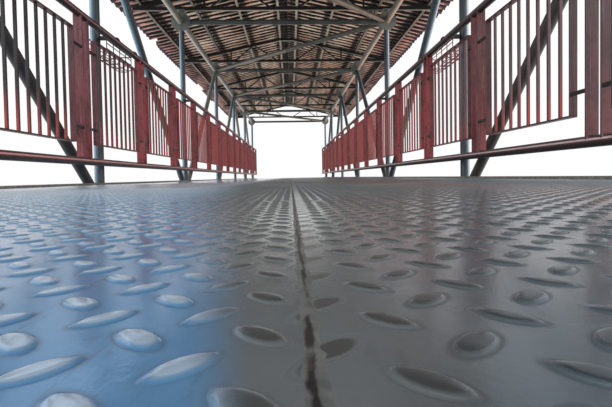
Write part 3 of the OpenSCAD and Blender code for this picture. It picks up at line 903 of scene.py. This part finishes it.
# Segments of a lug, and its rings as shares of its size and of its height
LUG_KINDS = {
    "close": lug_template(18, [(1.12, -0.05), (1.0, 0.06), (0.93, 0.28), (0.82, 0.6), (0.66, 0.83),
                               (0.45, 0.95), (0.22, 0.99)]),
    "near": lug_template(10, [(1.08, -0.05), (0.9, 0.4), (0.62, 0.9)]),
    "far": lug_template(6, [(1.05, -0.05), (0.7, 0.8)]),
    "last": lug_template(6, [(1.1, -0.03)])}


def lug_places(x0, x1, y0, y1, lattice):
    """Middles and turns of the lugs on one plate."""
    step_x, step_y = lattice["pitch"]
    places = []
    for offset, turn in ((0, -1), (0.5, 1)):
        start_x = lattice["at"][0] + offset * step_x
        start_y = lattice["at"][1] + offset * step_y
        columns = range(math.ceil((x0 - start_x) / step_x), math.floor((x1 - start_x) / step_x) + 1)
        rows = range(math.ceil((y0 - start_y) / step_y), math.floor((y1 - start_y) / step_y) + 1)
        places += [(start_x + i * step_x, start_y + j * step_y, turn) for i in columns for j in rows]
    return np.array(places)


def lugs(name, places, template, material):
    """Copies of one lug template at the given places, as one mesh."""
    shape, faces = template
    half = math.sqrt(0.5)
    along = shape[:, 0] * half
    across = shape[:, 1] * half
    turned = {1: np.column_stack([along - across, along + across, shape[:, 2]]),
              -1: np.column_stack([along + across, across - along, shape[:, 2]])}
    verts = []
    all_faces = []
    for n, (x, y, turn) in enumerate(places):
        worn = random.uniform(*LUG_WEAR)
        verts.append(turned[int(turn)] * (1, 1, worn) + (x, y, DECK))
        start = n * len(shape)
        all_faces += [tuple(start + i for i in face) for face in faces]
    return mesh_object(name, np.concatenate(verts), all_faces, material)


def deck_lugs(material):
    """Lugs on the near plates, finer towards the place from which the photograph was taken."""
    edges = [-DECK_END] + DECK_JOINTS[:2]
    for name, x0, x1 in (("left", -DECK_EDGE, SEAM_X), ("right", SEAM_X, DECK_EDGE)):
        groups = {kind: [] for kind in LUG_KINDS}
        for y0, y1 in zip(edges, edges[1:]):
            places = lug_places(x0 + PLATE_END, x1 - PLATE_END, y0 + PLATE_END, y1 - PLATE_END,
                                LATTICES[name])
            ahead = places[:, 1] - EYE[1]
            aside = np.abs(places[:, 0] - EYE[0])
            in_view = aside < VIEW_SLOPE * ahead + VIEW_START
            close = in_view & (ahead < CLOSE)
            near = in_view & (ahead < NEAR) & ~close
            last = ahead > LAST
            for kind, chosen in zip(LUG_KINDS, (close, near, ~close & ~near & ~last, last)):
                groups[kind].append(places[chosen])
        for kind, template in LUG_KINDS.items():
            lugs(f"deck_lugs_{kind}_{name}", np.concatenate(groups[kind]), template, material)


def dirt_line(parts, start, end, gap, step):
    """Dirt that fills a gap between plates from start to end, ragged at its edges."""
    start = np.array(start, float)
    end = np.array(end, float)
    count = max(int(np.linalg.norm(end - start) / step), 2)
    along = (end - start) / np.linalg.norm(end - start)
    across = np.array([-along[1], along[0], 0])
    lift = np.array([0, 0, 1.0])
    verts = []
    for k in range(count + 1):
        middle_at = start + (end - start) * k / count
        left = gap / 2 + random.uniform(*DIRT_SPILL)
        right = gap / 2 + random.uniform(*DIRT_SPILL)
        verts += [middle_at + left * across - DIRT_SUNK * lift,
                  middle_at + 0.4 * left * across + random.uniform(*DIRT_HEAP) * lift,
                  middle_at - 0.4 * right * across + random.uniform(*DIRT_HEAP) * lift,
                  middle_at - right * across - DIRT_SUNK * lift]
    faces = []
    for k in range(count):
        for s in range(3):
            faces.append((4 * k + s + 1, 4 * k + s, 4 * k + 4 + s, 4 * k + 5 + s))
    parts.take(verts, faces)


def deck_dirt(material):
    """Dirt in the seam and in the joints across the deck."""
    dirt = Parts()
    fine_end = (SEAM_X, DIRT_FINE_UNTIL, DECK)
    dirt_line(dirt, (SEAM_X, -DECK_END, DECK), fine_end, SEAM_GAP, DIRT_FINE_STEP)
    dirt_line(dirt, fine_end, (SEAM_X, DECK_END, DECK), SEAM_GAP, DIRT_STEP)
    for n, y in enumerate(DECK_JOINTS):
        at = y + SEAM_GAP / 2
        step = DIRT_STEP if n else JOINT_FINE_STEP
        dirt_line(dirt, (-DECK_EDGE, at, DECK), (DECK_EDGE, at, DECK), SEAM_GAP, step)
    dirt.piece("deck_dirt", material)


def deck_kerbs(material):
    """Low strips along the outer edges of the deck."""
    kerbs = Parts()
    for side in SIDES:
        x0, x1 = sorted((side * DECK_EDGE, side * (DECK_EDGE - KERB_T)))
        kerbs.box((x0, -DECK_END, DECK), (x1, DECK_END, DECK + KERB_H))
    kerbs.piece("deck_kerbs", material, False)


# Weld beads

def fish_mouth(start, end, radius, other_radius, other_axis, steps=32):
    """Line on which a pipe that runs towards end meets a pipe through end along other_axis."""
    axis = (end - start) / np.linalg.norm(end - start)
    first, second = frame_of(axis)
    other = other_axis / np.linalg.norm(other_axis)
    points = []
    for offset in circle(first, second, radius, steps):
        flat_axis = axis - (axis @ other) * other
        flat_offset = offset - (offset @ other) * other
        a = flat_axis @ flat_axis
        b = 2 * flat_axis @ flat_offset
        c = flat_offset @ flat_offset - other_radius ** 2
        root = math.sqrt(max(b * b - 4 * a * c, 0))
        along = (-b - root) / (2 * a)
        points.append(end + offset + along * axis)
    return np.array(points)


def truss_welds(material):
    """Beads where web pipes, struts and laterals meet the chords, and round the gusset plates."""
    beads = Parts()
    along = np.array([0, 1.0, 0])

    def ring(start, end):
        beads.tube(fish_mouth(start, end, WEB_R, CHORD_R, along), WELD_R, 6, True, WELD_RIPPLE)

    def both_rings(start, end):
        ring(start, end)
        ring(end, start)

    for side in SIDES:
        across = np.array([-side * 1.0, 0, 0])
        for k, y in enumerate(NODE_Y):
            top = np.array([side * TRUSS_X, y, TOP_Z])
            low = np.array([side * TRUSS_X, y, LOW_Z])
            both_rings(low, top)
            ring(top + across, top)
            ring(low + across, low)
            centre = np.array([side * TRUSS_X, y + GUSSET_FACE, TOP_Z])
            turns = np.linspace(0, 2 * math.pi, 28, endpoint=False)
            round_chord = centre + CHORD_R * np.column_stack([np.cos(turns), 0 * turns, np.sin(turns)])
            beads.tube(round_chord, WELD_R, 6, True, WELD_RIPPLE)
        for at_top, at_low in DIAGONALS:
            top = np.array([side * TRUSS_X, NODE_Y[at_top], TOP_Z])
            low = np.array([side * TRUSS_X, NODE_Y[at_low], LOW_Z])
            both_rings(low, top)
    for left_node, right_node in DIAGONALS:
        left = np.array([-TRUSS_X, NODE_Y[left_node], TOP_Z])
        right = np.array([TRUSS_X, NODE_Y[right_node], TOP_Z])
        both_rings(left, right)
    beads.piece("truss_welds", material)


# Railings

def posts(side, material):
    """Pairs of flats that stand between the lower rail and the handrail."""
    flats = Parts()
    for y in post_line(side):
        for s in (-1, 1):
            bow = random.uniform(-FLAT_BOW, FLAT_BOW)
            at = y + s * FLAT_GAP / 2
            edges = sorted((side * (RAIL_X - FLAT_W / 2), side * (RAIL_X + FLAT_W / 2 + FLAT_WIDER)))
            verts, faces = box((edges[0], at - FLAT_T / 2, LOW_RAIL_Z + FLAT_SUNK),
                               (edges[1], at + FLAT_T / 2, HANDRAIL_Z - FLAT_SUNK))
            share = (verts[:, 2] - LOW_RAIL_Z) / (HANDRAIL_Z - LOW_RAIL_Z)
            verts[:, 1] += bow * np.sin(share * math.pi)
            flats.take(verts, faces)
    name = SIDE_NAMES[side]
    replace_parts(flats.piece(f"post_flats_{name}", material, False), f"rail_posts_{name}")


def panels(side, frame_material, bar_material, lug_material):
    """Barred panels on their lugs, with frames of flats."""
    frames = Parts()
    bars = Parts()
    lug_blocks = Parts()
    x0, x1 = sorted((side * PANEL_LOW.x, side * PANEL_HIGH.x))
    z0, z1 = PANEL_LOW.z, PANEL_HIGH.z
    mid_x = (x0 + x1) / 2
    face_x = side * PANEL_LOW.x
    line = post_line(side)
    for number, (near, far) in enumerate(zip(line, line[1:])):
        y = even_post(side, number) + POST_GAP / 2 + PANELS_OFF.get((side, number), 0)
        low_y, high_y = y - PANEL_W / 2, y + PANEL_W / 2
        for z in (z0, z1 - FRAME_T):
            frames.box((x0, low_y, z), (x1, high_y, z + FRAME_T))
        for at in (low_y, high_y - FRAME_T):
            frames.box((x0, at, z0 + FRAME_T), (x1, at + FRAME_T, z1 - FRAME_T))
        for k in range(BARS):
            at = y + (k - (BARS - 1) / 2) * BAR_PITCH
            shove = random.uniform(-BAR_SHOVE, BAR_SHOVE, 2)
            verts, faces = box((mid_x - BAR_W / 2, at - BAR_W / 2, z0 + FRAME_T / 2),
                               (mid_x + BAR_W / 2, at + BAR_W / 2, z1 - FRAME_T / 2), BAR_EDGE)
            upper = verts[:, 2] > (z0 + z1) / 2
            verts[:, 1] += np.where(upper, shove[0], shove[1])
            bars.take(verts, faces)
        half_post = (FLAT_GAP + FLAT_T) / 2
        outer = face_x + side * LUG_BLOCK_T
        for z in (z0 + LUG_INSET, z1 - LUG_INSET):
            for start, end in ((near + half_post, low_y), (high_y, far - half_post)):
                lug_blocks.box((min(face_x, outer), start - LUG_BLOCK_SUNK, z - LUG_BLOCK_H / 2),
                               (max(face_x, outer), end + LUG_BLOCK_SUNK, z + LUG_BLOCK_H / 2))
    name = SIDE_NAMES[side]
    lug_blocks.piece(f"panel_lugs_{name}", lug_material, False)
    frames.piece(f"panel_frames_{name}", frame_material, False)
    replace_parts(bars.piece(f"panel_bars_{name}", bar_material, False),
                f"rail_panels_{name}")


def rail_details(material):
    """Beads at the feet and heads of the flats, and the closed ends of the rail pipes."""
    beads = Parts()
    xs = np.linspace(-FLAT_W / 2 + RAIL_WELD_IN, FLAT_W / 2 - RAIL_WELD_IN, 9)
    drop = np.sqrt(np.maximum(RAIL_R ** 2 - xs ** 2, 0))
    for side in SIDES:
        for y in post_line(side):
            for s in (-1, 1):
                for face in (-1, 1):
                    at = y + s * FLAT_GAP / 2 + face * (FLAT_T / 2 + RAIL_WELD_OFF)
                    ys = np.full(len(xs), at)
                    foot = np.column_stack([side * RAIL_X + xs, ys, LOW_RAIL_Z + drop])
                    head = np.column_stack([side * RAIL_X + xs, ys, HANDRAIL_Z - drop])
                    for line in (foot, head):
                        beads.tube(line, RAIL_WELD_R, 5, False, RAIL_WELD_RIPPLE)
        for z in (LOW_RAIL_Z, HANDRAIL_Z):
            for end in (-1, 1):
                beads.dome((side * RAIL_X, end * RAIL_END, z), (0, end, 0), RAIL_R, RAIL_CAP_H, 20, 4)
    beads.piece("rail_welds", material)


# Flower baskets of wire, hung outside the handrails

def basket(side, hoops, near, material, name):
    """One empty wire basket, open at the top, that starts at near and hangs over the handrail."""
    wires = Parts()
    inner, outer = side * (RAIL_X + RAIL_R + BASKET_IN), side * (RAIL_X + BASKET_OUT)
    top, low = DECK + BASKET_TOP, DECK + BASKET_LOW
    far = near + (hoops - 1) * HOOP_STEP
    for n in range(hoops):
        y = near + n * HOOP_STEP
        turns = np.linspace(0, math.pi, 9)
        mid_x = (inner + outer) / 2
        half = (outer - inner) / 2
        bend = [(mid_x - half * math.cos(t), y, low + BASKET_BEND - BASKET_BEND * math.sin(t))
                for t in turns]
        wires.tube([(inner, y, top)] + bend + [(outer, y, top)], WIRE_R, 6)
    for x in (inner, outer):
        wires.tube([(x, near, top), (x, far, top)], RIM_WIRE_R, 8)
    for y in (near, far):
        wires.tube([(inner, y, top), (outer, y, top)], RIM_WIRE_R, 8)
    for x in (inner, outer):
        for height in BASKET_BANDS:
            wires.tube([(x, near, DECK + height), (x, far, DECK + height)], WIRE_R, 6)
    for share in FLOOR_WIRES:
        x = inner + (outer - inner) * share
        wires.tube([(x, near, low + WIRE_OVER), (x, far, low + WIRE_OVER)], WIRE_R, 6)
    for y in (near + HOOP_STEP / 2, far - HOOP_STEP / 2):
        over = [(inner, y, top)]
        for t in np.linspace(0, math.pi, 9):
            reach = RAIL_R + HOOK_GAP
            over.append((side * (RAIL_X + reach * math.cos(t)), y, HANDRAIL_Z + reach * math.sin(t)))
        wires.tube(over, RIM_WIRE_R, 8)
    wires.piece(name, material)


# Roof

def on_slope(side, along, y, up):
    """Points given along the slope, along the bridge and square to the slope."""
    x = along * COS + up * SIN
    z = RIDGE_Z - along * SIN + up * COS
    return np.stack(np.broadcast_arrays(side * x, y, z), axis=-1)


def roof_sheet(side, number):
    """One corrugated sheet as a thin shell. Its far edge laps over the next sheet."""
    near = (number - SHEETS / 2) * SHEET_W + ROOF_SHIFT[side]
    ys = np.linspace(near, near + SHEET_W + SHEET_LAP, WAVES * WAVE_STEPS + 4)
    wave = WAVE_RISE / 2 * (1 - np.cos(2 * math.pi * (ys - near) / WAVE))
    wave = wave + LAP_RISE * (ys - near) / SHEET_W
    run = np.full(len(ys), SHEET_RUN + UNEVEN * math.sin(math.radians(77 * number)))
    run += random.uniform(-EDGE_FRAY, EDGE_FRAY, len(ys))
    if side < 0:
        run += SLIPPED.get(number, 0)
        run -= np.interp(ys - BROKEN_Y, BROKEN_STEPS, BROKEN_DEPTHS)
    shares = list(np.linspace(0, 1, 9))
    holes = [(along, y) for along, y in HOLES[side] if near <= y < near + SHEET_W]
    for along, y in holes:
        middle_share = (along - SHEET_START) / SHEET_RUN
        shares += [middle_share + k * HOLE_ALONG / 2 / SHEET_RUN for k in (-1, 0, 1)]
    shares = np.array(sorted(shares))
    along = SHEET_START + shares[:, None] * run[None, :]
    sag = SHEET_SAG * np.sin(shares * math.pi * 3 + number)[:, None]
    up = SHEET_BASE + wave[None, :] + np.abs(sag)
    under = on_slope(side, along, ys[None, :], up).reshape(-1, 3)
    over = on_slope(side, along, ys[None, :], up + SHEET_T).reshape(-1, 3)
    rows, columns = along.shape
    count = rows * columns
    faces = []

    def open_here(r, c):
        mid_along = (along[r, c] + along[r + 1, c]) / 2
        mid_y = (ys[c] + ys[c + 1]) / 2
        return any(abs(mid_along - a) < HOLE_ALONG / 2 and abs(mid_y - y) < HOLE_WIDE for a, y in holes)

    for r in range(rows - 1):
        for c in range(columns - 1):
            if open_here(r, c):
                continue
            a = r * columns + c
            low = (a, a + columns, a + columns + 1, a + 1)
            high = tuple(count + corner for corner in (a, a + 1, a + columns + 1, a + columns))
            faces.append(low if side > 0 else low[:1] + low[:0:-1])
            faces.append(high if side > 0 else high[:1] + high[:0:-1])
    border = list(range(columns))
    border += [r * columns + columns - 1 for r in range(1, rows)]
    border += [(rows - 1) * columns + c for c in range(columns - 2, -1, -1)]
    border += [r * columns for r in range(rows - 2, 0, -1)]
    for one, two in zip(border, border[1:] + border[:1]):
        rim = (one, two, count + two, count + one)
        faces.append(rim if side > 0 else rim[::-1])
    return np.concatenate([under, over]), faces


def roof_sheets(side, material):
    """All sheets of one slope."""
    sheets = Parts()
    for number in range(SHEETS):
        sheets.take(*roof_sheet(side, number))
    name = SIDE_NAMES[side]
    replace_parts(sheets.piece(f"corrugated_sheets_{name}", material),
                f"roof_sheets_{name}")


def ridge_cap(material):
    """Ridge cap in lapped lengths: two wings with turned-down lips and a roll along the ridge."""
    cap = Parts()
    step = 2 * ROOF_END / CAP_LENGTHS
    top = RIDGE_Z + CAP_UP / COS
    foot = CAP_ROLL * 1.2
    wing = [(CAP_WING * COS, -CAP_WING * SIN - CAP_LIP), (CAP_WING * COS, -CAP_WING * SIN),
            (foot, -foot * math.tan(PITCH))]
    turns = np.linspace(0.1, math.pi / 2, 5)
    arc = [(CAP_ROLL * math.cos(t), CAP_ROLL * math.sin(t) * 0.9) for t in turns]
    half = wing + arc
    line = half + [(-x, z) for x, z in half[-2::-1]]
    count = len(line)
    shift = 2 * count
    for n in range(CAP_LENGTHS):
        near = -ROOF_END + n * step
        far = min(near + step + CAP_LAP, ROOF_END)
        verts = []
        for y, lift in ((near, 0.0), (far, CAP_LAP_RISE)):
            verts += [(x, y, top + z + lift) for x, z in line]
            verts += [(x, y, top + z + lift + SHEET_T) for x, z in line]
        faces = []
        for k in range(count - 1):
            low_a, low_b = k, k + 1
            up_a, up_b = count + k, count + k + 1
            faces.append((low_a, low_b, shift + low_b, shift + low_a))
            faces.append((up_b, up_a, shift + up_a, shift + up_b))
            faces.append((low_b, low_a, up_a, up_b))
            faces.append((shift + low_a, shift + low_b, shift + up_b, shift + up_a))
        for k in (0, count - 1):
            rim = (k, count + k, shift + count + k, shift + k)
            faces.append(rim if k else rim[::-1])
        cap.take(verts, faces)
    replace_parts(cap.piece("ridge_capping", material, False), "ridge_cap")


def roof_fixings(material):
    """Washers and caps of the hook bolts on the crests, above each purlin."""
    fixings = Parts()
    for side in SIDES:
        normal = (side * SIN, 0, COS)
        for x in PURLIN_X[side][1:]:
            along = x / COS
            for n in range(1, round(2 * ROOF_END / WAVE), 3):
                y = -ROOF_END + ROOF_SHIFT[side] + (n + 0.5) * WAVE
                at = on_slope(side, along, y, SHEET_BASE + WAVE_RISE + WASHER_UP)
                fixings.dome(at, normal, *SCREW_WASHER, 10, 2)
                fixings.dome(at + SCREW_UP * np.array(normal), normal, *SCREW_HEAD, 8, 3)
    fixings.piece("roof_fixings", material)


def purlins(side, material):
    """Channels along the roof, open towards the eave: two flanges and the web."""
    channels = Parts()
    low, high = RAFTER_H / 2, RAFTER_H / 2 + PURLIN_H
    for x in PURLIN_X[side]:
        start = x / COS - PURLIN_W / 2
        end = start + PURLIN_W
        for x0, z0, x1, z1 in ((start, low, end, low + PURLIN_T), (start, high - PURLIN_T, end, high),
                               (start, low + PURLIN_T, start + PURLIN_T, high - PURLIN_T)):
            verts, faces = box((x0, -PURLIN_END, z0), (x1, PURLIN_END, z1), THIN_EDGE)
            if side < 0:
                faces = [face[::-1] for face in faces]
            channels.take(on_slope(side, verts[:, 0], verts[:, 1], verts[:, 2]), faces)
    name = SIDE_NAMES[side]
    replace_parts(channels.piece(f"purlin_channels_{name}", material, False),
                f"purlins_{name}")


def purlin_cleats(material):
    """Angle cleats that hold the purlins to the rafters, on the lower side of each purlin."""
    cleats = Parts()
    turn = {s: np.array([[COS, 0, s * SIN], [0, 1, 0], [-s * SIN, 0, COS]]) for s in SIDES}
    for side in SIDES:
        for x in PURLIN_X[side][:3]:
            for y in NODE_Y:
                along = x / COS + CLEAT_ALONG
                foot = on_slope(side, along, y, RAFTER_H / 2 + CLEAT_GAP)
                for out, up in CLEAT_LEGS:
                    verts, faces = box((0, -CLEAT_HALF, 0), (out, CLEAT_HALF, up), THIN_EDGE)
                    if side < 0:
                        verts[:, 0] *= -1
                        faces = [face[::-1] for face in faces]
                    cleats.take(verts @ turn[side].T + foot, faces)
    cleats.piece("purlin_cleats", material, False)


# Feet

def anchor_bolts(material):
    """Nut, washer and thread end on each anchor bolt."""
    bolts = Parts()
    up = np.array([0, 0, 1.0])
    for side in SIDES:
        for node in PIER_NODES:
            for dx in (-1, 1):
                for dy in (-1, 1):
                    at = np.array([side * TRUSS_X + dx * BOLT_GAP / 2, NODE_Y[node] + dy * BOLT_GAP / 2,
                                   BASE_T])
                    on_washer = at + BOLT_WASHER_T * up
                    bolts.tube([at, on_washer], BOLT_WASHER_R, 20)
                    bolts.tube([on_washer, at + BOLT_NUT_TOP * up], BOLT_NUT_R, 6)
                    bolts.tube([at - BASE_T / 2 * up, at + BOLT_OVER * up], BOLT_R, 14)
    bolts.piece("anchor_bolts", material, False)


# Stage

FLOOR_REACH = 150
BOUNCE_X = 6.5
BOUNCE_Z = 0.05
BOUNCE_WIDE = 4
BOUNCE_LONG = 22


def make_camera():
    """Camera at the photograph's viewing angle."""
    ahead = Vector((math.sin(CAMERA_YAW), math.cos(CAMERA_YAW), 0))
    right = Vector((math.cos(CAMERA_YAW), -math.sin(CAMERA_YAW), 0))
    up = Vector((0, 0, 1))
    forward = math.cos(CAMERA_PITCH) * ahead + math.sin(CAMERA_PITCH) * up
    raised = math.cos(CAMERA_PITCH) * up - math.sin(CAMERA_PITCH) * ahead
    x_axis = math.cos(CAMERA_ROLL) * right + math.sin(CAMERA_ROLL) * raised
    y_axis = math.cos(CAMERA_ROLL) * raised - math.sin(CAMERA_ROLL) * right
    turn = Matrix((x_axis, y_axis, -forward)).transposed()
    data = bpy.data.cameras.new("camera")
    data.sensor_width = SENSOR
    data.lens = FOCAL_PIXELS / FRAME_PIXELS * SENSOR
    data.shift_y = (AXIS_ROW - FRAME_ROWS / 2) / FRAME_PIXELS
    data.clip_start = 0.01
    data.clip_end = 300
    made = scene_object("camera", data)
    made.matrix_world = Matrix.Translation(EYE) @ turn.to_4x4()
    bpy.context.scene.camera = made


def make_floor():
    """Plain pale floor."""
    mesh = bpy.data.meshes.new("floor")
    corners = [(x * FLOOR_REACH, y * FLOOR_REACH, 0) for x, y in ((-1, -1), (1, -1), (1, 1), (-1, 1))]
    mesh.from_pydata(corners, [], [(0, 1, 2, 3)])
    g = Graph("floor_paint")
    speckle = g.band(g.noise(3, 3), 0.3, 0.7)
    g.paint = g.mix(speckle, (0.78, 0.78, 0.79, 1), (0.84, 0.84, 0.84, 1))
    mesh.materials.append(g.surface(0.8))
    floor = scene_object("floor", mesh)


def make_world():
    """White studio: the camera and reflections see white, and the object gets a plain level."""
    world = bpy.data.worlds.new("studio")
    bpy.context.scene.world = world
    world.use_nodes = True
    tree = world.node_tree
    tree.nodes.clear()

    def node(kind, links=(), **values):
        """A node with the values of its inputs and the links to them."""
        made = tree.nodes.new(kind)
        for key, value in values.items():
            made.inputs[key].default_value = value
        for at, source in links:
            tree.links.new(source, made.inputs[at])
        return made

    paths = node("ShaderNodeLightPath").outputs
    seen = node("ShaderNodeMath", [(0, paths["Is Camera Ray"]), (1, paths["Is Glossy Ray"])])
    seen.operation = "MAXIMUM"
    light = node("ShaderNodeBackground", Color=(0.96, 0.98, 1, 1), Strength=0.75)
    white = node("ShaderNodeBackground", Color=(1, 1, 1, 1), Strength=1)
    mixed = node("ShaderNodeMixShader", [("Fac", seen.outputs["Value"]),
                                         (1, light.outputs["Background"]),
                                         (2, white.outputs["Background"])])
    node("ShaderNodeOutputWorld", [("Surface", mixed.outputs["Shader"])])


def make_sun(name, towards, strength, tint, spread):
    """A soft lamp whose light travels towards a direction."""
    data = bpy.data.lights.new(name, "SUN")
    data.energy = strength
    data.color = tint
    data.angle = math.radians(spread)
    lamp = scene_object(name, data)
    lamp.rotation_euler = Vector(towards).to_track_quat("-Z", "Y").to_euler()


def make_bounce(name, side, strength, tint):
    """A wide soft lamp near the floor beside the bridge, like light from pale ground."""
    data = bpy.data.lights.new(name, "AREA")
    data.shape = "RECTANGLE"
    data.size = BOUNCE_WIDE
    data.size_y = BOUNCE_LONG
    data.energy = strength
    data.color = tint
    lamp = scene_object(name, data)
    lamp.location = (side * BOUNCE_X, 0, BOUNCE_Z)
    lamp.rotation_euler = (math.pi, 0, 0)
    lamp.visible_camera = False
    lamp.visible_glossy = False


make_camera()
make_world()
make_floor()
make_sun("lamp_left", (1, 0.3, -0.35), 1.7, (0.9, 0.96, 1), 45)
make_sun("lamp_right", (-1, 0.3, -0.35), 1.5, (1, 0.97, 0.93), 45)
make_bounce("bounce_left", -1, 760, (0.95, 0.98, 1))
make_bounce("bounce_right", 1, 760, (1, 0.94, 0.87))
bpy.context.scene.view_settings.view_transform = "Standard"

vertical_paint = web_paint("vertical_paint", False)
diagonal_paint = web_paint("diagonal_paint", True)
grey_paint = chord_paint("grey_paint", (92, 90, 85), (120, 114, 106), 0.65)
lateral_paint = chord_paint("lateral_paint", (72, 74, 68), (96, 94, 88), 0.35)
strut_paint = chord_paint("strut_paint", (54, 60, 60), (76, 80, 78), 0.5)
gusset_paint = painted_pipe("gusset_paint", (96, 102, 100), (122, 126, 120), (56, 60, 60),
                            (84, 56, 44))
pier_paint = painted_pipe("pier_paint", (92, 108, 120), (116, 130, 140), (56, 60, 64), (92, 60, 46))
frame_dark = frame_paint()
post_paint = rail_paint()
pipe_paint = rail_pipe_paint()
frame_red = rail_paint("panel_frame_paint", 0.4)
lug_dark = plain_metal("lug_dark", (28, 17, 17), (18, 11, 13), 0.5, 0.65)
bar_red = bar_paint()
deck_grey = deck_steel()
roof_brown = roof_paint()
seam_dirt = seam_fill()
kerb_grey = plain_metal("kerb_grey", (132, 126, 116), (92, 88, 82), 0.5, 0.7)
bolt_metal = plain_metal("bolt_metal", (120, 118, 112), (96, 70, 54), 0.4, 0.6, 0.6)
wire_dark = plain_metal("wire_dark", (24, 21, 34), (14, 12, 22), 0.45, 0.6)
wire_red = plain_metal("wire_red", (176, 46, 40), (120, 36, 34), 0.35, 0.55)

SLOT_FINISHES = {"truss_paint": grey_paint, "dark_steel": frame_dark, "rail_paint": pipe_paint,
                 "deck_steel": deck_grey, "roof_paint": roof_brown}
FAMILY_FINISHES = {"verticals": vertical_paint, "diagonals": diagonal_paint,
                   "top_struts": strut_paint, "top_laterals": lateral_paint,
                   "gussets": gusset_paint, "roof_stubs": gusset_paint,
                   "pier_columns": pier_paint, "pier_ties": pier_paint, "bottom_chord": pier_paint}
for name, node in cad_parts.items():
    family = name.removesuffix("_left").removesuffix("_right")
    slot_name = node.data.materials[0].name.split(".")[0]
    node.data.materials[0] = FAMILY_FINISHES.get(family, SLOT_FINISHES[slot_name])

deck_lugs(deck_grey)
deck_dirt(seam_dirt)
deck_kerbs(kerb_grey)
truss_welds(grey_paint)
for sign in (-1, 1):
    posts(sign, post_paint)
    panels(sign, frame_red, bar_red, lug_dark)
    roof_sheets(sign, roof_brown)
    purlins(sign, frame_dark)
rail_details(pipe_paint)
basket(-1, 5, NODE_Y[1] + 0.02, wire_dark, "flower_basket_left")
basket(1, 6, NODE_Y[1] + 0.04, wire_red, "flower_basket_right")
ridge_cap(roof_brown)
roof_fixings(bolt_metal)
purlin_cleats(frame_dark)
anchor_bolts(bolt_metal)
